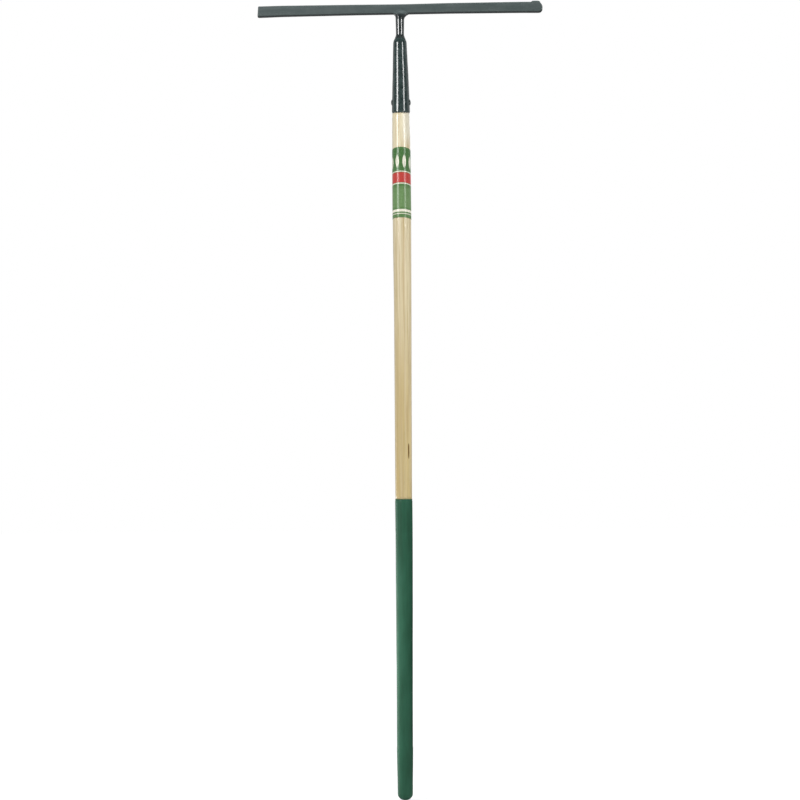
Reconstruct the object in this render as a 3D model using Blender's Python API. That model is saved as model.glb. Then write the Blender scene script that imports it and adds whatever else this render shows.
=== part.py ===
"""Long-handled garden rake: a welded bar head with tines, a riveted socket, a turned shaft and a grip sleeve.

Frame: metres, +Z up along the shaft, +X along the bar, the tines point to +Y.
The origin lies on the shaft's axis in the plane of the bar's underside, where a hook carries the hung tool.
"""

import math

import bmesh
import bpy
from mathutils import Matrix, Vector

MM = 0.001

# Fits and facets
FIT_GAP = 0.3 * MM
LABEL_GAP = 0.2 * MM
ROUND_SEGMENTS = 40
RIVET_SEGMENTS = 24
DOME_STEPS = 6
FILLET_STEPS = 2
CUTTER_OVERRUN = 20 * MM
MERGE_DISTANCE = 0.001 * MM
SMOOTH_ANGLE = math.radians(32)

# Head bar
BAR_LENGTH = 466 * MM
BAR_HEIGHT = 16.8 * MM
BAR_THICKNESS = 7.0 * MM
BAR_END_DROP = 1.4 * MM
BAR_EDGE_RADIUS = 1.2 * MM
BAR_LOWER_CHAMFER = 2.2 * MM
BAR_CORNER_RADIUS = 3.0 * MM
BAR_SEAT_DEPTH = 1.0 * MM

# Tines
TINE_COUNT = 16
TINE_END_MARGIN = 12 * MM
TINE_LENGTH = 68 * MM
TINE_ROOT_WIDTH = 8.0 * MM
TINE_ROOT_HEIGHT = 7.0 * MM
TINE_TIP_WIDTH = 4.0 * MM
TINE_TIP_HEIGHT = 3.0 * MM
TINE_DROOP = 1.2 * MM
TINE_AXIS_RISE = 2.4 * MM
TINE_TOE = 1.2 * MM
TINE_TOE_LENGTH = 2.5 * MM
TINE_POINT_LENGTH = 2.0 * MM
TINE_POINT_SHARE = 0.45
TINE_STATIONS = 4
TANG_SIZE = 5.0 * MM
TANG_LENGTH = 4.0 * MM
SECTION_CHAMFER = 0.3

# Neck rod and its two weld beads
NECK_TOP_DIAMETER = 14.2 * MM
NECK_LOWER_DIAMETER = 13.1 * MM
NECK_VISIBLE_LENGTH = 34.0 * MM
NECK_INSERT_LENGTH = 20.0 * MM
NECK_END_CHAMFER = 1.0 * MM
WELD_LEG = 5.4 * MM
WELD_DEPTH_LEG = 2.3 * MM
WELD_TOE = 0.5 * MM
WELD_DROP = 6.2 * MM
WELD_LOBE_HEIGHT = 10.4 * MM
WELD_LOBE_WIDTH = 7.0 * MM
WELD_LOBE_DEPTH = 1.8 * MM
WELD_STATIONS = 3
BEAD_LENGTH = 3.4 * MM
BEAD_TOE = 0.35 * MM

# Socket
SOCKET_NOSE_WALL = 1.0 * MM
SOCKET_WALL = 1.6 * MM
SOCKET_SHOULDER_DIAMETER = 21.4 * MM
SOCKET_MOUTH_DIAMETER = 29.2 * MM
SOCKET_SHOULDER_LENGTH = 9.0 * MM
SOCKET_TAPER_LENGTH = 107.5 * MM
SOCKET_BAND_LENGTH = 4.0 * MM
SOCKET_LIP_RADIUS = 1.2 * MM

# Socket rivet
RIVET_FROM_MOUTH = 16.8 * MM
RIVET_SHANK_DIAMETER = 5.0 * MM
RIVET_HEAD_DIAMETER = 10.0 * MM
RIVET_HEAD_HEIGHT = 1.45 * MM

# Turned shaft
SHAFT_LENGTH = 1219 * MM
SPIGOT_END_GAP = 6.8 * MM
SHAFT_MOUTH_DIAMETER = 27.7 * MM
SHAFT_NECK_DIAMETER = 29.2 * MM
SHAFT_SWELL_DIAMETER = 29.9 * MM
SHAFT_GRIP_DIAMETER = 26.9 * MM
SHAFT_NECK_FROM_MOUTH = 36 * MM
SHAFT_SWELL_FROM_MOUTH = 183 * MM
SHAFT_SWELL_STEPS = 6
SHAFT_CHAMFER = 1.0 * MM

# Grip sleeve
SLEEVE_LENGTH = 490.8 * MM
SLEEVE_WALL = 0.6 * MM
SLEEVE_TOP_DIAMETER = 27.8 * MM
SLEEVE_END_DIAMETER = 24.8 * MM
SLEEVE_DOME_HEIGHT = 10.5 * MM

# Label wrap
LABEL_FILM = 0.25 * MM
LABEL_FROM_MOUTH = 56 * MM
LABEL_HEIGHT = 114.5 * MM
LABEL_TOP_DROP = 5.7 * MM
LABEL_BOTTOM_DROP = 3.4 * MM
LABEL_LEVELLING = 0.35
LABEL_SEAM_HALF_ANGLE = math.radians(4)
LABEL_ROWS = 4

# Places that follow from the sizes above
BAR_HALF = BAR_LENGTH / 2
BAR_FACE = BAR_THICKNESS / 2
NECK_TOP_RADIUS = NECK_TOP_DIAMETER / 2
NECK_LOWER_RADIUS = NECK_LOWER_DIAMETER / 2
WELD_HALF_WIDTH = NECK_TOP_RADIUS + FIT_GAP + WELD_LEG - WELD_TOE
SEAT_HALF = WELD_HALF_WIDTH + 2 * FIT_GAP
NECK_TOP_Z = BAR_SEAT_DEPTH - FIT_GAP
NECK_NARROW_Z = -NECK_VISIBLE_LENGTH
NECK_END_Z = NECK_NARROW_Z - NECK_INSERT_LENGTH
NOSE_Z = NECK_NARROW_Z - BEAD_LENGTH - FIT_GAP
SHOULDER_Z = NOSE_Z - SOCKET_SHOULDER_LENGTH
BAND_Z = SHOULDER_Z - SOCKET_TAPER_LENGTH
LIP_Z = BAND_Z - SOCKET_BAND_LENGTH
MOUTH_Z = LIP_Z - 2 * SOCKET_LIP_RADIUS
NOSE_BORE_RADIUS = NECK_LOWER_RADIUS + FIT_GAP
RIVET_Z = MOUTH_Z + RIVET_FROM_MOUTH
SPIGOT_TOP_Z = NECK_END_Z - SPIGOT_END_GAP
SHAFT_SHOULDER_Z = MOUTH_Z - FIT_GAP
SHAFT_BUTT_Z = SPIGOT_TOP_Z - SHAFT_LENGTH
SLEEVE_END_Z = SHAFT_BUTT_Z - FIT_GAP - SLEEVE_WALL
SLEEVE_TOP_Z = SLEEVE_END_Z + SLEEVE_LENGTH
SLEEVE_DOME_Z = SLEEVE_END_Z + SLEEVE_DOME_HEIGHT
LABEL_TOP_Z = MOUTH_Z - LABEL_FROM_MOUTH

# Finishes: linear colour, roughness and metallic value
BAR_PAINT = ((0.075, 0.095, 0.093), 0.35, 0.0)
TINE_PAINT = ((0.075, 0.095, 0.093), 0.42, 0.0)
NECK_PAINT = ((0.040, 0.052, 0.052), 0.30, 0.0)
WELD_PAINT = ((0.085, 0.105, 0.103), 0.40, 0.0)
SOCKET_PAINT = ((0.035, 0.052, 0.050), 0.28, 0.0)
RIVET_PAINT = ((0.034, 0.046, 0.045), 0.30, 0.0)
LACQUERED_ASH = ((0.66, 0.53, 0.32), 0.38, 0.0)
GREEN_VINYL = ((0.035, 0.120, 0.075), 0.42, 0.0)
GREEN_FILM = ((0.050, 0.150, 0.050), 0.30, 0.0)


def clear_scene():
    """Remove every object that the scene starts with."""
    for item in list(bpy.data.objects):
        bpy.data.objects.remove(item, do_unlink=True)


def make_material(name, finish):
    """Return a Principled material with one finish."""
    colour, roughness, metallic = finish
    material = bpy.data.materials.new(name)
    material.use_nodes = True
    shader = material.node_tree.nodes["Principled BSDF"]
    shader.inputs["Base Color"].default_value = (*colour, 1.0)
    shader.inputs["Roughness"].default_value = roughness
    shader.inputs["Metallic"].default_value = metallic
    return material


def mix(start, end, share):
    """Return the value that lies this share of the way from start to end."""
    return start + (end - start) * share


def interpolate(z, upper, lower):
    """Return the radius at height z on the straight line between two (z, radius) points."""
    return mix(upper[1], lower[1], (z - upper[0]) / (lower[0] - upper[0]))


def finish_mesh(work, name):
    """Turn a closed work mesh outwards and return it as mesh data, shaded smooth between its edges."""
    bmesh.ops.remove_doubles(work, verts=work.verts, dist=MERGE_DISTANCE)
    bmesh.ops.recalc_face_normals(work, faces=work.faces)
    mesh = bpy.data.meshes.new(name)
    work.to_mesh(mesh)
    work.free()
    mesh.shade_smooth()
    mesh.set_sharp_from_angle(angle=SMOOTH_ANGLE)
    return mesh


def add_part(name, mesh, material, parent):
    """Add one sub-part to the scene under its parent."""
    part = bpy.data.objects.new(name, mesh)
    if not mesh.materials:
        mesh.materials.append(material)
    part.parent = parent
    bpy.context.collection.objects.link(part)
    return part


def add_cutter(name, mesh, parent):
    """Add a helper solid that only takes part in Booleans."""
    cutter = bpy.data.objects.new(name, mesh)
    cutter.parent = parent
    cutter.hide_render = True
    cutter.display_type = "WIRE"
    bpy.context.collection.objects.link(cutter)
    return cutter


def combine(part, other, operation):
    """Put an exact Boolean with another solid on a part."""
    boolean = part.modifiers.new(other.name, "BOOLEAN")
    boolean.object = other
    boolean.operation = operation
    boolean.solver = "EXACT"


def turned_mesh(name, profile, segments=ROUND_SEGMENTS):
    """Spin a closed outline of (radius, z) points about the Z axis."""
    work = bmesh.new()
    points = [work.verts.new((radius, 0.0, z)) for radius, z in profile]
    edges = []
    for start, end in zip(points, points[1:] + points[:1]):
        on_axis = start.co.x == 0.0 and end.co.x == 0.0
        if not on_axis:
            edges.append(work.edges.new((start, end)))
    bmesh.ops.spin(
        work,
        geom=points + edges,
        cent=(0.0, 0.0, 0.0),
        axis=(0.0, 0.0, 1.0),
        angle=math.tau,
        steps=segments,
        use_merge=True,
    )
    return finish_mesh(work, name)


def lofted_mesh(name, rings):
    """Skin a row of rings that have the same number of points, and close both ends."""
    work = bmesh.new()
    loops = [[work.verts.new(point) for point in ring] for ring in rings]
    for near, far in zip(loops, loops[1:]):
        for index in range(len(near)):
            following = (index + 1) % len(near)
            work.faces.new((near[index], near[following], far[following], far[index]))
    work.faces.new(loops[0])
    work.faces.new(loops[-1])
    return finish_mesh(work, name)


def box_mesh(name, boxes):
    """Make one mesh of separate boxes, each given by its lower and upper corner."""
    work = bmesh.new()
    for lower, upper in boxes:
        low, high = Vector(lower), Vector(upper)
        size = high - low
        place = Matrix.Translation((low + high) / 2) @ Matrix.Diagonal((*size, 1.0))
        bmesh.ops.create_cube(work, size=1.0, matrix=place)
    return finish_mesh(work, name)


def bar_underside(x):
    """Return the height of the bar's underside, which falls from the neck seat to both ends."""
    run = max(abs(x) - SEAT_HALF, 0.0)
    return -BAR_END_DROP * run / (BAR_HALF - SEAT_HALF)


def fillet(corner, radius, start_angle):
    """Return the points of a quarter round inside a corner of the bar's section, as (y, z)."""
    centre_y = corner[0] - math.copysign(radius, corner[0])
    centre_z = corner[1]
    points = []
    for step in range(FILLET_STEPS + 1):
        angle = start_angle + math.pi / 2 * step / FILLET_STEPS
        points.append((centre_y + radius * math.cos(angle), centre_z + radius * math.sin(angle)))
    return points


def bar_ring(x, trim):
    """Return the bar's section at x, with its top and underside drawn in by trim for the rounded corners."""
    low = bar_underside(x) + trim
    high = BAR_HEIGHT - trim
    edge = BAR_EDGE_RADIUS
    section = fillet((BAR_FACE, high - edge), edge, 0.0)
    section += fillet((-BAR_FACE, high - edge), edge, math.pi / 2)
    section += [(-BAR_FACE, low + BAR_LOWER_CHAMFER), (-BAR_FACE + BAR_LOWER_CHAMFER, low)]
    section += fillet((BAR_FACE, low + edge), edge, 1.5 * math.pi)
    return [Vector((x, y, z)) for y, z in section]


def bar_mesh():
    """Return the bar: its section carried from end to end, with the corners rounded in the front view."""
    stations = [(SEAT_HALF, 0.0)]
    for step in range(DOME_STEPS // 2 + 1):
        angle = math.pi / 2 * step / (DOME_STEPS // 2)
        inset = BAR_CORNER_RADIUS * (1 - math.sin(angle))
        stations.append((BAR_HALF - inset, BAR_CORNER_RADIUS * (1 - math.cos(angle))))
    left = [bar_ring(-x, trim) for x, trim in reversed(stations)]
    right = [bar_ring(x, trim) for x, trim in stations]
    return lofted_mesh("head_bar", left + right)


def tine_places():
    """Return the x of every tine, evenly spread between the end margins."""
    first = -BAR_HALF + TINE_END_MARGIN
    pitch = (BAR_LENGTH - 2 * TINE_END_MARGIN) / (TINE_COUNT - 1)
    return [first + pitch * index for index in range(TINE_COUNT)]


def tine_axis_height():
    """Return the height of the tine roots, a little over the middle of the bar."""
    return BAR_HEIGHT / 2 + TINE_AXIS_RISE


def chamfered_ring(y, z, width, height):
    """Return a chamfered rectangle that stands across the Y axis."""
    half_width, half_height = width / 2, height / 2
    cut = SECTION_CHAMFER * min(half_width, half_height)
    corners = [
        (half_width, half_height - cut),
        (half_width - cut, half_height),
        (cut - half_width, half_height),
        (-half_width, half_height - cut),
        (-half_width, cut - half_height),
        (cut - half_width, -half_height),
        (half_width - cut, -half_height),
        (half_width, cut - half_height),
    ]
    return [Vector((x, y, z + rise)) for x, rise in corners]


def tine_mesh():
    """Return one tine along +Y from the bar's back: tang, shoulder with a toe, tapered spike, blunt point."""
    rings = [
        chamfered_ring(FIT_GAP - TANG_LENGTH, 0.0, TANG_SIZE, TANG_SIZE),
        chamfered_ring(FIT_GAP, 0.0, TANG_SIZE, TANG_SIZE),
        chamfered_ring(FIT_GAP, 0.0, TINE_ROOT_WIDTH + 2 * TINE_TOE, TINE_ROOT_HEIGHT + 2 * TINE_TOE),
    ]
    start = FIT_GAP + TINE_TOE_LENGTH
    end = FIT_GAP + TINE_LENGTH - TINE_POINT_LENGTH
    for step in range(TINE_STATIONS + 1):
        share = step / TINE_STATIONS
        width = mix(TINE_ROOT_WIDTH, TINE_TIP_WIDTH, share)
        height = mix(TINE_ROOT_HEIGHT, TINE_TIP_HEIGHT, share)
        rings.append(chamfered_ring(mix(start, end, share), -TINE_DROOP * share**2, width, height))
    point_width = TINE_TIP_WIDTH * TINE_POINT_SHARE
    point_height = TINE_TIP_HEIGHT * TINE_POINT_SHARE
    rings.append(chamfered_ring(FIT_GAP + TINE_LENGTH, -TINE_DROOP, point_width, point_height))
    return lofted_mesh("tine", rings)


def tine_pocket_boxes():
    """Return the blind pockets in the bar's back that take the tangs."""
    half = TANG_SIZE / 2 + FIT_GAP
    floor_y = BAR_FACE - TANG_LENGTH
    height = tine_axis_height()
    return [
        ((x - half, floor_y, height - half), (x + half, BAR_FACE + CUTTER_OVERRUN, height + half))
        for x in tine_places()
    ]


def seat_box():
    """Return the shallow notch in the bar's underside where the neck rod is welded on."""
    low = (-SEAT_HALF, -CUTTER_OVERRUN, -CUTTER_OVERRUN)
    high = (SEAT_HALF, CUTTER_OVERRUN, BAR_SEAT_DEPTH)
    return low, high


def neck_profile(growth):
    """Return the neck rod's outline, grown by a clearance when it serves as a cutter."""
    top = NECK_TOP_Z + growth
    bottom = NECK_END_Z - growth
    upper = NECK_TOP_RADIUS + growth
    lower = NECK_LOWER_RADIUS + growth
    return [
        (0.0, top),
        (upper - NECK_END_CHAMFER, top),
        (upper, top - NECK_END_CHAMFER),
        (upper, -WELD_DROP),
        (lower, NECK_NARROW_Z),
        (lower, bottom + NECK_END_CHAMFER),
        (lower - NECK_END_CHAMFER, bottom),
        (0.0, bottom),
    ]


def ellipse_ring(z, half_width, half_depth):
    """Return a level ellipse around the Z axis."""
    ring = []
    for index in range(ROUND_SEGMENTS):
        angle = math.tau * index / ROUND_SEGMENTS
        ring.append(Vector((half_width * math.cos(angle), half_depth * math.sin(angle), z)))
    return ring


def weld_mesh():
    """Return the weld before it is cut: a flare round the neck with a lobe on both faces of the bar."""
    toe = NECK_TOP_RADIUS + FIT_GAP + WELD_TOE
    flare_depth = NECK_TOP_RADIUS + FIT_GAP + WELD_DEPTH_LEG
    lobe_depth = BAR_FACE + FIT_GAP + WELD_LOBE_DEPTH
    shares = [step / WELD_STATIONS for step in range(1, WELD_STATIONS + 1)]
    rings = [ellipse_ring(-WELD_DROP, toe, toe)]
    for share in shares:
        half_width = mix(toe, WELD_HALF_WIDTH, share**2)
        half_depth = mix(toe, flare_depth, share**2)
        rings.append(ellipse_ring(mix(-WELD_DROP, 0.0, share), half_width, half_depth))
    rings.append(ellipse_ring(BAR_SEAT_DEPTH, WELD_HALF_WIDTH, flare_depth))
    for share in shares:
        half_width = mix(WELD_HALF_WIDTH, WELD_LOBE_WIDTH / 2, share)
        half_depth = mix(flare_depth, lobe_depth, math.sqrt(share))
        rings.append(ellipse_ring(mix(BAR_SEAT_DEPTH, WELD_LOBE_HEIGHT, share), half_width, half_depth))
    return lofted_mesh("neck_weld", rings)


def bead_profile():
    """Return the ring bead that closes the step between the neck rod and the socket's nose."""
    bore = NOSE_BORE_RADIUS
    foot = NECK_NARROW_Z - BEAD_LENGTH
    return [
        (bore, NECK_NARROW_Z),
        (bore + BEAD_TOE, NECK_NARROW_Z),
        (bore + SOCKET_NOSE_WALL, foot),
        (bore, foot),
    ]


def socket_outer_radius(z):
    """Return the socket's outer radius on its long taper."""
    shoulder = (SHOULDER_Z, SOCKET_SHOULDER_DIAMETER / 2)
    band = (BAND_Z, SOCKET_MOUTH_DIAMETER / 2)
    return interpolate(z, shoulder, band)


def socket_bore_radius(z):
    """Return the socket's inner radius, which runs straight from the shoulder to the mouth."""
    return socket_outer_radius(max(z, BAND_Z)) - SOCKET_WALL


def socket_outer_profile(growth):
    """Return the socket's outer side from nose to lip, grown by a clearance when it serves as a cutter."""
    mouth = SOCKET_MOUTH_DIAMETER / 2 + growth
    points = [
        (NOSE_BORE_RADIUS + SOCKET_NOSE_WALL + growth, NOSE_Z),
        (SOCKET_SHOULDER_DIAMETER / 2 + growth, SHOULDER_Z),
        (mouth, BAND_Z),
        (mouth, LIP_Z),
    ]
    for step in range(1, DOME_STEPS // 2 + 1):
        angle = math.pi / 2 * step / (DOME_STEPS // 2)
        drop = 2 * SOCKET_LIP_RADIUS * math.sin(angle)
        points.append((mouth - SOCKET_LIP_RADIUS * (1 - math.cos(angle)), LIP_Z - drop))
    return points


def socket_profile():
    """Return the whole outline of the socket: outer side, lip and bore."""
    bore = [
        (socket_bore_radius(MOUTH_Z), MOUTH_Z),
        (socket_bore_radius(BAND_Z), BAND_Z),
        (socket_bore_radius(SHOULDER_Z), SHOULDER_Z - SOCKET_WALL),
        (NOSE_BORE_RADIUS, NOSE_Z - SOCKET_WALL),
        (NOSE_BORE_RADIUS, NOSE_Z),
    ]
    return socket_outer_profile(0.0) + bore


def rivet_bar_mesh(name, radius, half_length):
    """Return a plain cylinder along the X axis through the rivet's centre."""
    work = bmesh.new()
    place = Matrix.Translation((0.0, 0.0, RIVET_Z)) @ Matrix.Rotation(math.pi / 2, 4, "Y")
    bmesh.ops.create_cone(
        work,
        cap_ends=True,
        segments=RIVET_SEGMENTS,
        radius1=radius,
        radius2=radius,
        depth=2 * half_length,
        matrix=place,
    )
    return finish_mesh(work, name)


def rivet_head_mesh():
    """Return both rivet heads as domed discs that still reach into the socket's wall."""
    crown = socket_outer_radius(RIVET_Z) + RIVET_HEAD_HEIGHT
    base = socket_outer_radius(RIVET_Z) - SOCKET_WALL
    rim = RIVET_HEAD_DIAMETER / 2
    outline = [(0.0, crown)]
    for step in range(1, DOME_STEPS // 2 + 1):
        angle = math.pi / 2 * step / (DOME_STEPS // 2)
        outline.append((rim * math.sin(angle), crown - RIVET_HEAD_HEIGHT * (1 - math.cos(angle))))
    outline += [(rim, base), (0.0, base)]
    work = bmesh.new()
    for side in (1.0, -1.0):
        head = turned_mesh("rivet_head", outline, RIVET_SEGMENTS)
        turn = Matrix.Rotation(side * math.pi / 2, 4, "Y")
        head.transform(Matrix.Translation((0.0, 0.0, RIVET_Z)) @ turn)
        work.from_mesh(head)
        bpy.data.meshes.remove(head)
    return finish_mesh(work, "socket_rivet")


def shaft_radius(z):
    """Return the bare shaft's radius between the socket's mouth and the sleeve."""
    mouth = (SHAFT_SHOULDER_Z, SHAFT_MOUTH_DIAMETER / 2)
    neck = (MOUTH_Z - SHAFT_NECK_FROM_MOUTH, SHAFT_NECK_DIAMETER / 2)
    swell = (MOUTH_Z - SHAFT_SWELL_FROM_MOUTH, SHAFT_SWELL_DIAMETER / 2)
    grip = (SLEEVE_TOP_Z, SHAFT_GRIP_DIAMETER / 2)
    if z > neck[0]:
        return interpolate(z, mouth, neck)
    if z > swell[0]:
        share = (z - neck[0]) / (swell[0] - neck[0])
        return mix(neck[1], swell[1], math.sin(math.pi / 2 * share))
    return interpolate(z, swell, grip)


def sleeve_outer_radius(z):
    """Return the sleeve's outer radius between its top edge and its domed end."""
    top = (SLEEVE_TOP_Z, SLEEVE_TOP_DIAMETER / 2)
    end = (SLEEVE_DOME_Z, SLEEVE_END_DIAMETER / 2)
    return interpolate(z, top, end)


def dome_points(inset):
    """Return the blunt dome that closes the grip end, drawn in by inset, from its rim to the axis."""
    radius = SLEEVE_END_DIAMETER / 2 - inset
    height = SLEEVE_DOME_HEIGHT - inset
    points = []
    for step in range(1, DOME_STEPS):
        angle = math.pi / 2 * step / DOME_STEPS
        points.append((radius * math.cos(angle), SLEEVE_DOME_Z - height * math.sin(angle)))
    points.append((0.0, SLEEVE_DOME_Z - height))
    return points


def shaft_profile():
    """Return the turned shaft: tapered spigot, shoulder, swell, and a seat turned down for the sleeve."""
    inset = SLEEVE_WALL + FIT_GAP
    seat_z = SLEEVE_TOP_Z + FIT_GAP
    spigot_end = socket_bore_radius(SPIGOT_TOP_Z) - FIT_GAP
    points = [
        (0.0, SPIGOT_TOP_Z),
        (spigot_end - SHAFT_CHAMFER, SPIGOT_TOP_Z),
        (spigot_end, SPIGOT_TOP_Z - SHAFT_CHAMFER),
        (socket_bore_radius(BAND_Z) - FIT_GAP, BAND_Z),
        (socket_bore_radius(MOUTH_Z) - FIT_GAP, SHAFT_SHOULDER_Z),
        (shaft_radius(SHAFT_SHOULDER_Z), SHAFT_SHOULDER_Z),
    ]
    neck_z = MOUTH_Z - SHAFT_NECK_FROM_MOUTH
    swell_z = MOUTH_Z - SHAFT_SWELL_FROM_MOUTH
    for step in range(SHAFT_SWELL_STEPS + 1):
        z = mix(neck_z, swell_z, step / SHAFT_SWELL_STEPS)
        points.append((shaft_radius(z), z))
    points += [
        (shaft_radius(seat_z), seat_z),
        (sleeve_outer_radius(SLEEVE_TOP_Z) - inset, seat_z),
        (sleeve_outer_radius(SLEEVE_DOME_Z) - inset, SLEEVE_DOME_Z),
    ]
    return points + dome_points(inset)


def sleeve_profile():
    """Return the sleeve: a thin tapered tube with a domed closed end."""
    outer_end = SLEEVE_END_DIAMETER / 2
    outer = [
        (sleeve_outer_radius(SLEEVE_TOP_Z), SLEEVE_TOP_Z),
        (outer_end, SLEEVE_DOME_Z),
    ]
    inner = [
        (sleeve_outer_radius(SLEEVE_TOP_Z) - SLEEVE_WALL, SLEEVE_TOP_Z),
        (outer_end - SLEEVE_WALL, SLEEVE_DOME_Z),
    ]
    outer += dome_points(0.0)
    inner += dome_points(SLEEVE_WALL)
    return outer + inner[::-1]


def label_edges(angle):
    """Return the label's upper and lower edge at an angle from the front: arched, then level round the back."""
    away = 1 - math.cos(min(abs(angle), math.pi / 2))
    past = max(0.0, abs(angle) - math.pi / 2)
    away += LABEL_LEVELLING * math.sin(min(past / LABEL_LEVELLING, math.pi / 2))
    upper = LABEL_TOP_Z - LABEL_TOP_DROP * away
    lower = LABEL_TOP_Z - LABEL_HEIGHT - LABEL_BOTTOM_DROP * away
    return upper, lower


def label_ring(angle):
    """Return the film's section at an angle from the front: down its outer side and up its inner side."""
    upper, lower = label_edges(angle)
    heights = [mix(upper, lower, row / LABEL_ROWS) for row in range(LABEL_ROWS + 1)]
    direction = Vector((math.sin(angle), -math.cos(angle), 0.0))
    inner = [direction * (shaft_radius(z) + LABEL_GAP) + Vector((0.0, 0.0, z)) for z in heights]
    outer = [
        direction * (shaft_radius(z) + LABEL_GAP + LABEL_FILM) + Vector((0.0, 0.0, z)) for z in heights
    ]
    return outer + inner[::-1]


def label_mesh():
    """Return the label film, wrapped from one side of its seam at the back to the other."""
    reach = math.pi - LABEL_SEAM_HALF_ANGLE
    shares = [index / ROUND_SEGMENTS for index in range(ROUND_SEGMENTS + 1)]
    return lofted_mesh("label_wrap", [label_ring(mix(-reach, reach, share)) for share in shares])


def build_head(root):
    """Build the bar, its tines, the neck rod and the weld between rod and bar."""
    paint = make_material("bar_paint", BAR_PAINT)
    weld_paint = make_material("weld_paint", WELD_PAINT)
    tine_paint = make_material("tine_paint", TINE_PAINT)
    neck_paint = make_material("neck_paint", NECK_PAINT)

    bar = add_part("head_bar", bar_mesh(), paint, root)
    combine(bar, add_cutter("cut_seat", box_mesh("cut_seat", [seat_box()]), root), "DIFFERENCE")
    pockets = add_cutter("cut_pockets", box_mesh("cut_pockets", tine_pocket_boxes()), root)
    combine(bar, pockets, "DIFFERENCE")

    spike = tine_mesh()
    for number, x in enumerate(tine_places(), start=1):
        tine = add_part(f"tine_{number:02d}", spike, tine_paint, root)
        tine.location = (x, BAR_FACE, tine_axis_height())

    add_part("neck_rod", turned_mesh("neck_rod", neck_profile(0.0)), neck_paint, root)
    weld = add_part("neck_weld", weld_mesh(), weld_paint, root)
    low = (-2 * SEAT_HALF, -BAR_FACE - FIT_GAP, NECK_TOP_Z)
    high = (2 * SEAT_HALF, BAR_FACE + FIT_GAP, BAR_HEIGHT + CUTTER_OVERRUN)
    combine(weld, add_cutter("cut_bar", box_mesh("cut_bar", [(low, high)]), root), "DIFFERENCE")
    rod = add_cutter("cut_neck", turned_mesh("cut_neck", neck_profile(FIT_GAP)), root)
    combine(weld, rod, "DIFFERENCE")


def build_socket(root):
    """Build the socket, the bead at its nose and the rivet that pins the shaft."""
    socket_paint = make_material("socket_paint", SOCKET_PAINT)
    bead_paint = make_material("bead_paint", WELD_PAINT)
    rivet_paint = make_material("rivet_paint", RIVET_PAINT)

    add_part("socket_bead", turned_mesh("socket_bead", bead_profile()), bead_paint, root)
    socket = add_part("socket", turned_mesh("socket", socket_profile()), socket_paint, root)
    hole_radius = RIVET_SHANK_DIAMETER / 2 + FIT_GAP
    hole_half = SOCKET_MOUTH_DIAMETER
    drill = add_cutter("cut_rivet_hole", rivet_bar_mesh("cut_rivet_hole", hole_radius, hole_half), root)
    combine(socket, drill, "DIFFERENCE")

    rivet = add_part("socket_rivet", rivet_head_mesh(), rivet_paint, root)
    solid = [(0.0, NOSE_Z)] + socket_outer_profile(FIT_GAP) + [(0.0, MOUTH_Z)]
    combine(rivet, add_cutter("cut_socket", turned_mesh("cut_socket", solid), root), "DIFFERENCE")
    shank_half = socket_outer_radius(RIVET_Z) + RIVET_HEAD_HEIGHT / 2
    shank = rivet_bar_mesh("rivet_shank", RIVET_SHANK_DIAMETER / 2, shank_half)
    combine(rivet, add_cutter("rivet_shank", shank, root), "UNION")
    return drill


def build_handle(root, drill):
    """Build the turned shaft with its rivet hole, the label wrapped on it and the grip sleeve."""
    ash = make_material("lacquered_ash", LACQUERED_ASH)
    film = make_material("green_film", GREEN_FILM)
    vinyl = make_material("green_vinyl", GREEN_VINYL)

    shaft = add_part("shaft", turned_mesh("shaft", shaft_profile()), ash, root)
    combine(shaft, drill, "DIFFERENCE")
    add_part("label_wrap", label_mesh(), film, root)
    add_part("grip_sleeve", turned_mesh("grip_sleeve", sleeve_profile()), vinyl, root)


def main():
    """Build the whole rake under one empty at the origin."""
    clear_scene()
    root = bpy.data.objects.new("garden_rake", None)
    bpy.context.collection.objects.link(root)
    build_head(root)
    drill = build_socket(root)
    build_handle(root, drill)


main()
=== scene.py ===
"""Visual model of a long-handled garden rake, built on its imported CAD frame.

The bar, its tines, the welded neck, the riveted socket, the turned shaft, the label and the
grip sleeve are each rebuilt as a finer mesh at the place of the CAD nodes they stand for. Lengths
are in metres, +Z runs up the shaft to the bar, +X along the bar and +Y the way the tines point.
"""

import logging
import math
from dataclasses import dataclass
from enum import Enum
from typing import Callable, Sequence

import bmesh
import bpy
from mathutils import Matrix, Vector


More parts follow.
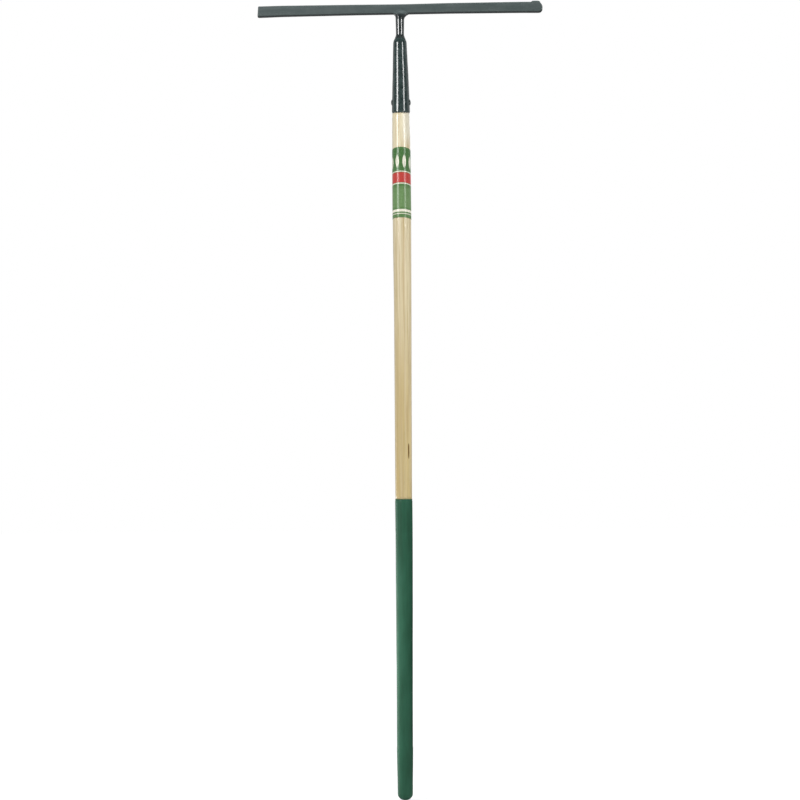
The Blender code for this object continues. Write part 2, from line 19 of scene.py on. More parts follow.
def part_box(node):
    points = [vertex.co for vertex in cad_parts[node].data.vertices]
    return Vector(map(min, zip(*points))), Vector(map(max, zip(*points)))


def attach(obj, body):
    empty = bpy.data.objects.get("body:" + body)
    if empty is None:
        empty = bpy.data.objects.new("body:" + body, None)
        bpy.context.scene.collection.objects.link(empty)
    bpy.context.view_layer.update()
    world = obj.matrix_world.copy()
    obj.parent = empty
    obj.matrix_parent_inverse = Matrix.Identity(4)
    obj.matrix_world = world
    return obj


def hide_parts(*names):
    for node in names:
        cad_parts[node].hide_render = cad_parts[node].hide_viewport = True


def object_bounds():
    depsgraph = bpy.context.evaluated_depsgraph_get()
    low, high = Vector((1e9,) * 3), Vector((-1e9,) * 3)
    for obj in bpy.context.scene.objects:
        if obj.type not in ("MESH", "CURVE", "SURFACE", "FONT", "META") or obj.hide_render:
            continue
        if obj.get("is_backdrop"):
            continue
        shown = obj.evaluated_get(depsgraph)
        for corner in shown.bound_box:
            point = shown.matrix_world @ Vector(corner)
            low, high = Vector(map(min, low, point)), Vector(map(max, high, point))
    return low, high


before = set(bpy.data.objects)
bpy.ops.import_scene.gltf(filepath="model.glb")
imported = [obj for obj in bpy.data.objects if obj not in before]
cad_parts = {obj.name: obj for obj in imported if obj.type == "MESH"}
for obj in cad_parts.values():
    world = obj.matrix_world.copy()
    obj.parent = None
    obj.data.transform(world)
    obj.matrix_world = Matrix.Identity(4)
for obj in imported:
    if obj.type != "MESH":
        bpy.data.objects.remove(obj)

MM = 0.001
IMAGE_SIZE = 800
ROOT_BODY = "root"
WHITE = (1.0, 1.0, 1.0)
LOG = logging.getLogger("rake")

# Points closer than this are merged
MERGE_DISTANCE = 0.0001 * MM

# The largest share of a side that the round at one of its ends takes up
ROUND_LIMIT = 0.45

# Layers of finer noise in the lumps of a surface
LUMP_DETAIL = 1.5

# The spread of a lamp without a grid, in degrees
OPEN_SPREAD = 180.0

# In radians
QUARTER_TURN = math.pi / 2

Span = tuple[float, float]
Place = tuple[float, float, float]
Colour = tuple[float, float, float]
Outline = list[tuple[float, float]]
Ring = list[Place]
Faces = list[tuple[int, ...]]
NodeSocket = bpy.types.NodeSocket
MeshObject = bpy.types.Object

# Height and sideways shift of the tool's axis, from the grip end to the bar
TOOL_BEND: Outline = [
    (-1290 * MM, -0.45 * MM),
    (-1200 * MM, -0.50 * MM),
    (-1040 * MM, -0.05 * MM),
    (-955 * MM, 0.25 * MM),
    (-850 * MM, 0.50 * MM),
    (-770 * MM, 0.28 * MM),
    (-660 * MM, 0.48 * MM),
    (-465 * MM, 0.85 * MM),
    (-340 * MM, 0.60 * MM),
    (-200 * MM, 0.50 * MM),
    (-177 * MM, 0.16 * MM),
    (-166 * MM, 0.10 * MM),
    (-154 * MM, 0.30 * MM),
    (-110 * MM, 0.10 * MM),
    (-48 * MM, -0.50 * MM),
    (-20 * MM, -0.35 * MM),
    (10 * MM, -0.60 * MM),
]

# How much the sleeve is thicker than a plain taper, by height: a belly, and a second dip near its end
SLEEVE_SWELL: Outline = [
    (-1270 * MM, 0.00 * MM),
    (-1262 * MM, 0.09 * MM),
    (-1246 * MM, 0.14 * MM),
    (-1235 * MM, 0.27 * MM),
    (-1223 * MM, 0.46 * MM),
    (-1210 * MM, 0.58 * MM),
    (-1194.7 * MM, 0.65 * MM),
    (-1192.5 * MM, 0.37 * MM),
    (-1171 * MM, 0.36 * MM),
    (-1147 * MM, 0.28 * MM),
    (-1117 * MM, 0.23 * MM),
    (-1080 * MM, 0.23 * MM),
    (-1030 * MM, 0.30 * MM),
    (-980 * MM, 0.36 * MM),
    (-930 * MM, 0.38 * MM),
    (-870 * MM, 0.34 * MM),
    (-790 * MM, 0.28 * MM),
]

# How far the bar stands above a straight one, by place along it
BAR_WAVE: Outline = [
    (-233 * MM, 0.0),
    (-190 * MM, 0.45 * MM),
    (-100 * MM, 0.25 * MM),
    (0.0, -0.2 * MM),
    (95 * MM, 0.55 * MM),
    (190 * MM, 0.65 * MM),
    (233 * MM, 0.4 * MM),
]

# The nose bead's section: distance out from the neck's side, and height from the top of the bead's CAD node
NOSE_BEAD: Outline = [
    (-0.4 * MM, 1.4 * MM),
    (0.1 * MM, 0.9 * MM),
    (0.45 * MM, -0.9 * MM),
    (1.25 * MM, -3.0 * MM),
    (1.95 * MM, -5.0 * MM),
    (1.6 * MM, -6.2 * MM),
    (-0.4 * MM, -6.2 * MM),
]


class Slot(Enum):
    """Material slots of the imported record."""

    BAR = "bar_paint"
    TINE = "tine_paint"
    WELD = "weld_paint"
    NECK = "neck_paint"
    SOCKET = "socket_paint"
    RIVET = "rivet_paint"
    SHAFT = "shaft_wood"
    LABEL = "label_film"
    SLEEVE = "sleeve_vinyl"


class InputKind(Enum):
    """Kinds of input that a Geometry Nodes tree asks for."""

    GEOMETRY = "NodeSocketGeometry"
    NUMBER = "NodeSocketFloat"
    COUNT = "NodeSocketInt"
    VECTOR = "NodeSocketVector"
    MATERIAL = "NodeSocketMaterial"


class LampUse(Enum):
    """What a lamp is for."""

    PLAIN = "lights and mirrors"
    FILL = "lights only"
    GLEAM = "mirrors only"


# Small shapes


def mix(start: float, end: float, share: float) -> float:
    """Return the value a share of the way from start to end."""
    return start + (end - start) * share


def ease(value: float, start: float, end: float) -> float:
    """Return a smooth rise from 0 at start to 1 at end.

    Args:
        value: where the rise is read.
        start: the value at which it begins.
        end: the value at which it is complete.

    Returns:
        A number from 0 to 1.
    """
    share = min(1.0, max(0.0, (value - start) / (end - start)))
    return share * share * (3.0 - 2.0 * share)


def round_trim(distance: float, radius: float) -> float:
    """Return how far a rounded end has drawn in at a distance from its tip.

    Args:
        distance: how far the section lies from the tip.
        radius: radius of the round.

    Returns:
        The trim, from the radius at the tip down to zero.
    """
    if distance >= radius:
        return 0.0
    return radius - math.sqrt(radius**2 - (radius - distance) ** 2)


def spaced(start: float, end: float, steps: int) -> list[float]:
    """Return evenly spaced values from start to end, both among them.

    Args:
        start: the first value.
        end: the last value.
        steps: number of steps between them.

    Returns:
        The values, one more than the steps.
    """
    return [mix(start, end, step / steps) for step in range(steps + 1)]


def through_stations(stations: Outline, value: float) -> float:
    """Return a smooth curve's value between stations.

    Args:
        stations: place and value of each station, in order of place.
        value: the place that is read.

    Returns:
        The curve's value, level beyond the first and the last station.
    """
    if value <= stations[0][0]:
        return stations[0][1]
    for (start, before), (end, after) in zip(stations, stations[1:]):
        if value <= end:
            return mix(before, after, ease(value, start, end))
    return stations[-1][1]


def soften(outline: Outline, reaches: float | Sequence[float], steps: int = 6) -> Outline:
    """Return an open outline whose inner corners are rounded.

    Args:
        outline: the corner points.
        reaches: how far each round reaches along both sides of its corner, one for all or one for each.
        steps: pieces that each round is made of.

    Returns:
        The points of the softened outline.
    """
    points = [Vector(point) for point in outline]
    if isinstance(reaches, float):
        reaches = [reaches] * (len(points) - 2)
    soft = [outline[0]]
    for before, corner, after, reach in zip(points, points[1:], points[2:], reaches):
        back = before - corner
        ahead = after - corner
        start = corner + back.normalized() * min(reach, ROUND_LIMIT * back.length)
        end = corner + ahead.normalized() * min(reach, ROUND_LIMIT * ahead.length)
        for step in range(steps + 1):
            share = step / steps
            point = start.lerp(corner, share).lerp(corner.lerp(end, share), share)
            soft.append((point.x, point.y))
    soft.append(outline[-1])
    return soft


def refine(outline: Outline, step: float) -> Outline:
    """Return an open outline with points no further apart than a step.

    Args:
        outline: the points to keep.
        step: the largest gap between two points.

    Returns:
        The points of the finer outline.
    """
    fine = [outline[0]]
    for (r0, z0), (r1, z1) in zip(outline, outline[1:]):
        parts = max(1, math.ceil(math.hypot(r1 - r0, z1 - z0) / step))
        for part in range(1, parts + 1):
            fine.append((mix(r0, r1, part / parts), mix(z0, z1, part / parts)))
    return fine


def spread_round(ring: Outline, count: int) -> Outline:
    """Return points spread evenly round a closed ring.

    Args:
        ring: corner points of the ring, in order.
        count: number of points wanted.

    Returns:
        The evenly spread points, from the ring's first corner on.
    """
    corners = ring + ring[:1]
    lengths = [math.dist(a, b) for a, b in zip(corners, corners[1:])]
    pitch = sum(lengths) / count
    points = []
    side = 0
    passed = 0.0
    for index in range(count):
        target = index * pitch
        while side < len(lengths) - 1 and passed + lengths[side] <= target:
            passed += lengths[side]
            side += 1
        share = (target - passed) / lengths[side]
        (y0, z0), (y1, z1) = corners[side], corners[side + 1]
        points.append((mix(y0, y1, share), mix(z0, z1, share)))
    return points


# Meshes


def grid_faces(rows: int, columns: int, wrap_rows: bool, wrap_columns: bool) -> Faces:
    """Return the four-sided faces of a grid of points stored row by row.

    Args:
        rows: number of rows.
        columns: points in each row.
        wrap_rows: whether the last row joins the first.
        wrap_columns: whether each row is a ring.

    Returns:
        The faces as tuples of point numbers.
    """
    faces = []
    for row in range(rows if wrap_rows else rows - 1):
        below = (row + 1) % rows
        for column in range(columns if wrap_columns else columns - 1):
            aside = (column + 1) % columns
            faces.append(
                (
                    row * columns + column,
                    row * columns + aside,
                    below * columns + aside,
                    below * columns + column,
                )
            )
    return faces


def mesh_object(name: str, points: Ring, faces: Faces) -> MeshObject:
    """Make a smooth mesh object at the origin, with doubles merged and faces turned outwards.

    Args:
        name: name of the object and its mesh.
        points: places of the mesh points.
        faces: point numbers of each face.

    Returns:
        The new object, linked to the scene.
    """
    mesh = bpy.data.meshes.new(name)
    mesh.from_pydata(points, [], faces)
    work = bmesh.new()
    work.from_mesh(mesh)
    bmesh.ops.remove_doubles(work, verts=work.verts, dist=MERGE_DISTANCE)
    bmesh.ops.recalc_face_normals(work, faces=work.faces)
    work.to_mesh(mesh)
    work.free()
    mesh.shade_smooth()
    piece = bpy.data.objects.new(name, mesh)
    bpy.context.scene.collection.objects.link(piece)
    return piece


def revolve(name: str, outline: Outline, segments: int, closed: bool = False) -> MeshObject:
    """Turn an outline of radius and height round the Z axis.

    Args:
        name: name of the piece.
        outline: radius and height of each point, from one end to the other.
        segments: number of steps round the axis.
        closed: whether the last point joins the first, as on a tube.

    Returns:
        The turned piece.
    """
    turns = [math.tau * step / segments for step in range(segments)]
    points = [(r * math.sin(turn), -r * math.cos(turn), z) for r, z in outline for turn in turns]
    return mesh_object(name, points, grid_faces(len(outline), segments, closed, True))


def loft(name: str, rings: list[Ring]) -> MeshObject:
    """Skin a row of rings and close both ends.

    Args:
        name: name of the piece.
        rings: rings of equally many points.

    Returns:
        The closed piece.
    """
    count = len(rings[0])
    points = [point for ring in rings for point in ring]
    faces = grid_faces(len(rings), count, False, True)
    for start, ring in ((0, rings[0]), ((len(rings) - 1) * count, rings[-1])):
        centre = len(points)
        points.append(tuple(sum(point[axis] for point in ring) / count for axis in range(3)))
        faces += [(start + step, start + (step + 1) % count, centre) for step in range(count)]
    return mesh_object(name, points, faces)


def mark_drips_and_shade(piece: MeshObject, amount: Callable[[bpy.types.MeshVertex], float]) -> None:
    """Store a share of dark glossy tone at each point: heavy wet paint at the weld's foot, and painted shade
    on the bar's downward faces.

    Args:
        piece: the painted piece.
        amount: gives the share of the dark glossy tone at a point.
    """
    mesh = piece.data
    drip_and_shade = mesh.attributes.new("drip_and_shade", "FLOAT", "POINT")
    drip_and_shade.data.foreach_set("value", [amount(vertex) for vertex in mesh.vertices])


def mark_crests(piece: MeshObject) -> None:
    """Store how far each point stands out from its neighbours, where paint wears thin.

    Args:
        piece: the finished piece.
    """
    mesh = piece.data
    totals = [0.0] * len(mesh.vertices)
    counts = [0] * len(mesh.vertices)
    for edge in mesh.edges:
        first, second = (mesh.vertices[index] for index in edge.vertices)
        along = (second.co - first.co).normalized()
        totals[first.index] -= first.normal.dot(along)
        totals[second.index] += second.normal.dot(along)
        counts[first.index] += 1
        counts[second.index] += 1
    crest = mesh.attributes.new("crest", "FLOAT", "POINT")
    crest.data.foreach_set("value", [total / max(1, count) for total, count in zip(totals, counts)])


def bow(piece: MeshObject) -> None:
    """Bend a piece sideways as the whole hand-made tool is bent, less than a millimetre either way."""
    for vertex in piece.data.vertices:
        vertex.co.x += through_stations(TOOL_BEND, vertex.co.z)


def enter(piece: MeshObject, slot: Slot, *nodes: str) -> None:
    """Bend a finished piece, put it on the frame in the place of its CAD nodes and report it.

    Args:
        piece: the finished piece.
        slot: not used.
        nodes: names of the CAD nodes that it stands for.
    """
    bow(piece)
    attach(piece, ROOT_BODY)
    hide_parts(*nodes)
    LOG.info("%s: %d faces for %d CAD node(s)", piece.name, len(piece.data.polygons), len(nodes))


# Node trees


class NodeGraph:
    """Adds and joins the nodes of one shader or geometry tree."""

    def __init__(self, tree: bpy.types.NodeTree) -> None:
        """Take the tree that the nodes go into."""
        self.tree = tree

    def add(self, kind: str, **settings: object) -> bpy.types.Node:
        """Add a node.

        Args:
            kind: Blender's name for the node type.
            settings: properties of the node by name.

        Returns:
            The new node.
        """
        node = self.tree.nodes.new(kind)
        for name, value in settings.items():
            setattr(node, name, value)
        return node

    def feed(self, entry: NodeSocket, value: object) -> None:
        """Join another socket to an entry, or set the entry to a fixed value.

        Args:
            entry: the input socket.
            value: an output socket, or a plain number, vector or colour.
        """
        if isinstance(value, bpy.types.NodeSocket):
            self.tree.links.new(value, entry)
        elif isinstance(value, tuple) and entry.type == "RGBA":
            entry.default_value = (*value, 1.0)
        else:
            entry.default_value = value

    def math(self, operation: str, first: object, second: object = 0.0) -> NodeSocket:
        """Return the result of a Math node.

        Args:
            operation: Blender's name for the operation.
            first: first value or socket.
            second: second value or socket.

        Returns:
            The result's socket.
        """
        node = self.add("ShaderNodeMath", operation=operation)
        self.feed(node.inputs[0], first)
        self.feed(node.inputs[1], second)
        return node.outputs[0]

    def times(self, first: object, second: object) -> NodeSocket:
        """Return the product of two values."""
        return self.math("MULTIPLY", first, second)

    def plus(self, first: object, second: object) -> NodeSocket:
        """Return the sum of two values."""
        return self.math("ADD", first, second)

    def minus(self, first: object, second: object) -> NodeSocket:
        """Return the difference of two values."""
        return self.math("SUBTRACT", first, second)

    def reach(self, first: object, second: object) -> NodeSocket:
        """Return the length of a flat vector with two parts."""
        squares = self.plus(self.math("POWER", first, 2.0), self.math("POWER", second, 2.0))
        return self.math("SQRT", squares)

    def level(
        self, value: object, start: float, end: float, low: object = 0.0, high: object = 1.0
    ) -> NodeSocket:
        """Return a smooth step of a value between two limits.

        Args:
            value: the socket that is read.
            start: value at which the step begins.
            end: value at which it is complete.
            low: result before the step.
            high: result after the step.

        Returns:
            The result's socket.
        """
        node = self.add("ShaderNodeMapRange", interpolation_type="SMOOTHSTEP")
        for entry, given in zip(node.inputs, (value, start, end, low, high)):
            self.feed(entry, given)
        return node.outputs[0]

    def band(self, value: object, centre: float, half_width: float, blur: float) -> NodeSocket:
        """Return 1 within a band round a centre value and 0 outside it.

        Args:
            value: the socket that is read.
            centre: middle of the band.
            half_width: half the band's width.
            blur: width of each edge.

        Returns:
            The result's socket.
        """
        away = self.math("ABSOLUTE", self.minus(value, centre))
        return self.level(away, half_width - blur / 2, half_width + blur / 2, 1.0, 0.0)

    def noise(self, place: NodeSocket, scale: object, detail: float = 2.0, rough: float = 0.5) -> NodeSocket:
        """Return soft noise from 0 to 1.

        Args:
            place: coordinates to read it at.
            scale: noise cells in a metre.
            detail: number of finer layers.
            rough: weight of the finer layers.

        Returns:
            The noise's socket.
        """
        node = self.add("ShaderNodeTexNoise")
        self.feed(node.inputs["Vector"], place)
        self.feed(node.inputs["Scale"], scale)
        self.feed(node.inputs["Detail"], detail)
        self.feed(node.inputs["Roughness"], rough)
        return node.outputs[0]

    def cells(self, place: NodeSocket, scale: float, smooth: float) -> NodeSocket:
        """Return the distance to the nearest point of a scattered set.

        Args:
            place: coordinates to read it at.
            scale: cells in a metre.
            smooth: how far neighbouring cells run together.

        Returns:
            The distance's socket.
        """
        node = self.add("ShaderNodeTexVoronoi", feature="SMOOTH_F1")
        self.feed(node.inputs["Vector"], place)
        self.feed(node.inputs["Scale"], scale)
        self.feed(node.inputs["Smoothness"], smooth)
        return node.outputs["Distance"]

    def stretch(self, place: NodeSocket, scale: Place, shift: Place = (0.0, 0.0, 0.0)) -> NodeSocket:
        """Return coordinates that are scaled and then moved.

        Args:
            place: the coordinates.
            scale: factor along each axis.
            shift: move along each axis, after scaling.

        Returns:
            The new coordinates' socket.
        """
        node = self.add("ShaderNodeMapping")
        self.feed(node.inputs["Vector"], place)
        self.feed(node.inputs["Scale"], scale)
        self.feed(node.inputs["Location"], shift)
        return node.outputs[0]

    def tint(self, share: object, first: object, second: object) -> NodeSocket:
        """Return a mix of two colours.

        Args:
            share: how much of the second colour there is.
            first: the first colour or its socket.
            second: the second colour or its socket.

        Returns:
            The mixed colour's socket.
        """
        node = self.add("ShaderNodeMix", data_type="RGBA")
        self.feed(node.inputs[0], share)
        self.feed(node.inputs[6], first)
        self.feed(node.inputs[7], second)
        return node.outputs[2]

    def split(self, place: NodeSocket) -> tuple[NodeSocket, NodeSocket, NodeSocket]:
        """Return the three parts of a vector.

        Args:
            place: the vector's socket.

        Returns:
            The sockets of X, Y and Z.
        """
        node = self.add("ShaderNodeSeparateXYZ")
        self.feed(node.inputs[0], place)
        return node.outputs[0], node.outputs[1], node.outputs[2]

    def bump(self, height: NodeSocket, depth: float, strength: float = 1.0) -> NodeSocket:
        """Return a surface normal that is tilted by a height.

        Args:
            height: the height's socket, from 0 to 1.
            depth: what a height of 1 stands for.
            strength: share of the tilt that is used.

        Returns:
            The normal's socket.
        """
        node = self.add("ShaderNodeBump")
        self.feed(node.inputs["Height"], height)
        self.feed(node.inputs["Distance"], depth)
        self.feed(node.inputs["Strength"], strength)
        return node.outputs["Normal"]


@dataclass(frozen=True)
class Grain:
    """Noise drawn out along the shaft, in cells in a metre, and how it shows."""

    across: float
    along: float
    detail: float = 2.0
    rough: float = 0.5
    shift: Place = (0.0, 0.0, 0.0)
    span: Span = (0.3, 0.7)
    share: float = 1.0

    def noise(self, graph: NodeGraph, place: NodeSocket) -> NodeSocket:
        """Return the drawn-out noise."""
        drawn = graph.stretch(place, (self.across, self.across, self.along), self.shift)
        return graph.noise(drawn, 1.0, self.detail, self.rough)

    def shade(self, graph: NodeGraph, noise: NodeSocket) -> NodeSocket:
        """Return how much of the grain shows, from 0 up to its share."""
        return graph.level(noise, *self.span, 0.0, self.share)


class Finish:
    """A material that is made once, when a piece first asks for it."""

    title: str

    def material(self) -> bpy.types.Material:
        """Return the finish's material, made on first use.

        Returns:
            The material.
        """
        known = bpy.data.materials.get(self.title)
        if known is not None:
            return known
        made = bpy.data.materials.new(self.title)
        made.use_nodes = True
        made.node_tree.nodes.clear()
        graph = NodeGraph(made.node_tree)
        shader = graph.add("ShaderNodeBsdfPrincipled")
        self.paint(graph, shader)
        output = graph.add("ShaderNodeOutputMaterial")
        graph.feed(output.inputs["Surface"], shader.outputs[0])
        return made

    def paint(self, graph: NodeGraph, shader: bpy.types.Node) -> None:
        """Join the finish's nodes to its shader."""
        raise NotImplementedError

    @staticmethod
    def object_place(graph: NodeGraph) -> NodeSocket:
        """Return the piece's own coordinates in metres."""
        return graph.add("ShaderNodeTexCoord").outputs["Object"]


@dataclass(frozen=True)
class HammeredPaint(Finish):
    """Dark green-grey hammered paint with pebbled flecks, thinner on crests."""

    title: str
    dark: Colour
    light: Colour
    worn: Colour = (0.15, 0.17, 0.165)
    # Dark glossy tone: heavy paint on the weld's foot, and painted shade on the bar's downward faces
    thick_and_shade: Colour = (0.014, 0.020, 0.021)
    thick_roughness: float = 0.15
    roughness: Span = (0.13, 0.22)
    roughness_span: Span = (0.3, 0.7)
    specular: float = 0.85
    ior: float = 1.5
    cell: float = 3.2 * MM
    drawn_out: float = 1.0
    cloud_cells: float = 2.2
    cloud_span: Span = (0.32, 0.68)
    grit_cells: float = 0.35
    grit_span: Span = (0.3, 0.7)
    pebble_smooth: float = 0.35
    pebble_span: Span = (0.55, 0.15)
    fleck_share: float = 0.35
    fleck_lift: float = 1.6
    wear_span: Span = (0.10, 0.45)
    pebble_relief: float = 0.7
    grit_relief: float = 0.3
    bump_depth: float = 0.05 * MM

    def paint(self, graph: NodeGraph, shader: bpy.types.Node) -> None:
        """Join mottled colour, flecks, worn crests, the stored dark glossy tone (heavy paint, and painted
        shade on downward faces), gloss and pebble bump.

        Args:
            graph: the material's nodes.
            shader: the surface shader.
        """
        place = self.object_place(graph)
        drawn = graph.stretch(place, (1.0 / self.drawn_out, 1.0, 1.0))
        cloud = graph.noise(drawn, 1.0 / (self.cloud_cells * self.cell), detail=3.0, rough=0.6)
        pebble = graph.cells(place, 1.0 / self.cell, self.pebble_smooth)
        grit = graph.noise(place, 1.0 / (self.grit_cells * self.cell))
        ground = graph.tint(graph.level(cloud, *self.cloud_span), self.dark, self.light)
        lit = graph.times(graph.level(pebble, *self.pebble_span), self.fleck_share)
        flecked = graph.tint(lit, ground, tuple(self.fleck_lift * part for part in self.light))
        crest = graph.add("ShaderNodeAttribute", attribute_name="crest").outputs["Fac"]
        rub = graph.times(graph.level(crest, *self.wear_span), graph.level(grit, *self.grit_span))
        rubbed = graph.tint(rub, flecked, self.worn)
        # The stored mask darkens the colour: painted shade on the bar's downward faces
        drip_and_shade = graph.add("ShaderNodeAttribute", attribute_name="drip_and_shade").outputs["Fac"]
        graph.feed(shader.inputs["Base Color"], graph.tint(drip_and_shade, rubbed, self.thick_and_shade))
        satin = graph.level(cloud, *self.roughness_span, *self.roughness)
        graph.feed(shader.inputs["Roughness"], graph.level(drip_and_shade, 0.0, 1.0, satin, self.thick_roughness))
        shader.inputs["Specular IOR Level"].default_value = self.specular
        shader.inputs["IOR"].default_value = self.ior
        relief = graph.plus(graph.times(pebble, self.pebble_relief), graph.times(grit, self.grit_relief))
        graph.feed(shader.inputs["Normal"], graph.bump(relief, self.bump_depth))


@dataclass(frozen=True)
class PaintedLightPatch:
    """A paler patch of painted light on the wood: where it sets in across and along the shaft, and its
    share.
    """

    colour: Colour
    edges: Span
    heights: Span
    share: float

    def lay(self, graph: NodeGraph, ground: NodeSocket, x: NodeSocket, z: NodeSocket) -> NodeSocket:
        """Return the wood's colour with the patch laid over it.

        Args:
            graph: the material's nodes.
            ground: the wood's colour.
            x: place across the shaft.
            z: height.

        Returns:
            The colour's socket.
        """
        aside = graph.level(x, *self.edges)
        along = graph.level(z, *self.heights, 0.0, self.share)
        return graph.tint(graph.times(aside, along), ground, self.colour)


@dataclass(frozen=True)
class LacqueredAsh(Finish):
    """Pale straight-grained ash under clear lacquer, paler towards the socket and on its sapwood side, with
    painted light on its lower right and a painted highlight at its upper right.
    """

    title: str = "lacquered_ash"
    pale: Colour = (0.757, 0.690, 0.503)
    golden: Colour = (0.567, 0.425, 0.168)
    pale_height: float = -170 * MM
    golden_height: float = -760 * MM
    sapwood: Colour = (0.74, 0.635, 0.378)
    sap_edge: float = -6 * MM
    sap_share: float = 0.42
    # Painted light: the lower right of the shaft is lightened to stand in for lamp light that falls short
    # there
    low_right_painted_light: PaintedLightPatch = PaintedLightPatch((0.84, 0.655, 0.28), (-1 * MM, 11 * MM), (-520 * MM, -760 * MM), 0.75)
    # Painted highlight: a pale patch at the upper right stands in for a lamp's gleam on the lacquer
    top_right_painted_highlight: PaintedLightPatch = PaintedLightPatch((0.83, 0.80, 0.66), (2.2 * MM, 6.2 * MM), (-225 * MM, -190 * MM), 0.75)
    late_wood: Colour = (0.50, 0.345, 0.165)
    pith: Span = (-31 * MM, 44 * MM)
    ring_pitch: float = 3.1 * MM
    ring_drift: float = 7 * MM
    ring_rise: Span = (0.55, 0.88)
    ring_fall: Span = (1.0, 0.9)
    clear_grain: Span = (-640 * MM, -480 * MM)
    ring_shares: Span = (0.34, 0.62)
    vein: Colour = (0.43, 0.325, 0.13)
    vein_shares: Span = (0.24, 0.55)
    pore: Colour = (0.33, 0.22, 0.10)
    slub_lift: float = 1.12
    drift: Grain = Grain(30.0, 3.5)
    fibres: Grain = Grain(1500.0, 22.0, 3.0, 0.65, span=(0.42, 0.80), share=0.34)
    slubs: Grain = Grain(420.0, 7.0, span=(0.35, 0.75), share=0.30)
    veins: Grain = Grain(460.0, 11.0, shift=(7.0, 2.0, 5.0), span=(0.50, 0.62))
    pores: Grain = Grain(2300.0, 85.0, 1.0, shift=(3.0, 1.0, 0.4), span=(0.66, 0.78), share=0.42)
    streak: Colour = (0.17, 0.078, 0.004)
    streak_turn: float = 45.8
    streak_height: float = -711.5 * MM
    streak_half_length: float = 13.0 * MM
    streak_half_width: float = 1.6 * MM
    streak_fray: float = 2.0
    streak_edge: Span = (2.1, 1.4)
    shaft_radius: float = 13.7 * MM
    roughness: Span = (0.30, 0.44)
    roughness_span: Span = (0.3, 0.8)
    coat: float = 0.5
    coat_roughness: float = 0.12
    fibre_relief: float = 0.6
    pore_relief: float = -0.4
    bump_depth: float = 0.05 * MM
    bump_strength: float = 0.6

    def paint(self, graph: NodeGraph, shader: bpy.types.Node) -> None:
        """Join growth rings, fibres, pores, one dark streak, painted light and a painted highlight, and the
        lacquer.

        Args:
            graph: the material's nodes.
            shader: the surface shader.
        """
        place = self.object_place(graph)
        x, y, z = graph.split(place)
        fibre = self.fibres.noise(graph, place)
        vein = self.veins.noise(graph, place)
        dash = self.pores.noise(graph, place)
        heart = graph.tint(graph.level(z, self.golden_height, self.pale_height), self.golden, self.pale)
        sappy = graph.level(x, self.sap_edge, self.shaft_radius, 0.0, self.sap_share)
        # Painted light on the lower right side
        ground = self.low_right_painted_light.lay(graph, graph.tint(sappy, heart, self.sapwood), x, z)
        ring = self.growth_rings(graph, x, y, self.drift.noise(graph, place))
        ring_share = graph.level(z, *self.clear_grain, *self.ring_shares)
        banded = graph.tint(graph.times(ring, ring_share), ground, self.late_wood)
        fibrous = graph.tint(self.fibres.shade(graph, fibre), banded, self.late_wood)
        vein_share = graph.level(z, *self.clear_grain, *self.vein_shares)
        veined = graph.tint(graph.level(vein, *self.veins.span, 0.0, vein_share), fibrous, self.vein)
        slub = self.slubs.shade(graph, self.slubs.noise(graph, place))
        cloudy = graph.tint(slub, veined, tuple(self.slub_lift * part for part in self.pale))
        # Painted highlight at the upper right
        lightened = self.top_right_painted_highlight.lay(graph, cloudy, x, z)
        dotted = graph.tint(self.pores.shade(graph, dash), lightened, self.pore)
        stained = graph.tint(self.dark_streak(graph, x, y, z, fibre), dotted, self.streak)
        graph.feed(shader.inputs["Base Color"], stained)
        graph.feed(shader.inputs["Roughness"], graph.level(fibre, *self.roughness_span, *self.roughness))
        shader.inputs["Coat Weight"].default_value = self.coat
        shader.inputs["Coat Roughness"].default_value = self.coat_roughness
        relief = graph.plus(graph.times(fibre, self.fibre_relief), graph.times(dash, self.pore_relief))
        graph.feed(shader.inputs["Normal"], graph.bump(relief, self.bump_depth, self.bump_strength))

    def growth_rings(self, graph: NodeGraph, x: NodeSocket, y: NodeSocket, drift: NodeSocket) -> NodeSocket:
        """Return late wood lines as rings round a pith that lies outside the shaft.

        Args:
            graph: the material's nodes.
            x: place across the shaft.
            y: place through the shaft.
            drift: slow noise that bends the rings along the shaft.

        Returns:
            The lines' socket, from 0 to 1.
        """
        away = graph.reach(graph.minus(x, self.pith[0]), graph.minus(y, self.pith[1]))
        bent = graph.plus(away, graph.times(drift, self.ring_drift))
        saw = graph.math("FRACT", graph.math("DIVIDE", bent, self.ring_pitch))
        return graph.times(graph.level(saw, *self.ring_rise), graph.level(saw, *self.ring_fall))

    def dark_streak(
        self, graph: NodeGraph, x: NodeSocket, y: NodeSocket, z: NodeSocket, fibre: NodeSocket
    ) -> NodeSocket:
        """Return the mask of one short dark mineral streak along the grain.

        Args:
            graph: the material's nodes.
            x: place across the shaft.
            y: place through the shaft.
            z: height.
            fibre: fine noise that frays its edges.

        Returns:
            The mask's socket, from 0 to 1.
        """
        turn = graph.math("ARCTAN2", x, graph.times(y, -1.0))
        aside = graph.times(graph.minus(turn, math.radians(self.streak_turn)), self.shaft_radius)
        wide = graph.math("DIVIDE", aside, self.streak_half_width)
        along = graph.math("DIVIDE", graph.minus(z, self.streak_height), self.streak_half_length)
        inside = graph.plus(graph.math("POWER", along, 4.0), graph.math("POWER", wide, 2.0))
        frayed = graph.plus(inside, graph.times(fibre, self.streak_fray))
        return graph.level(frayed, *self.streak_edge)


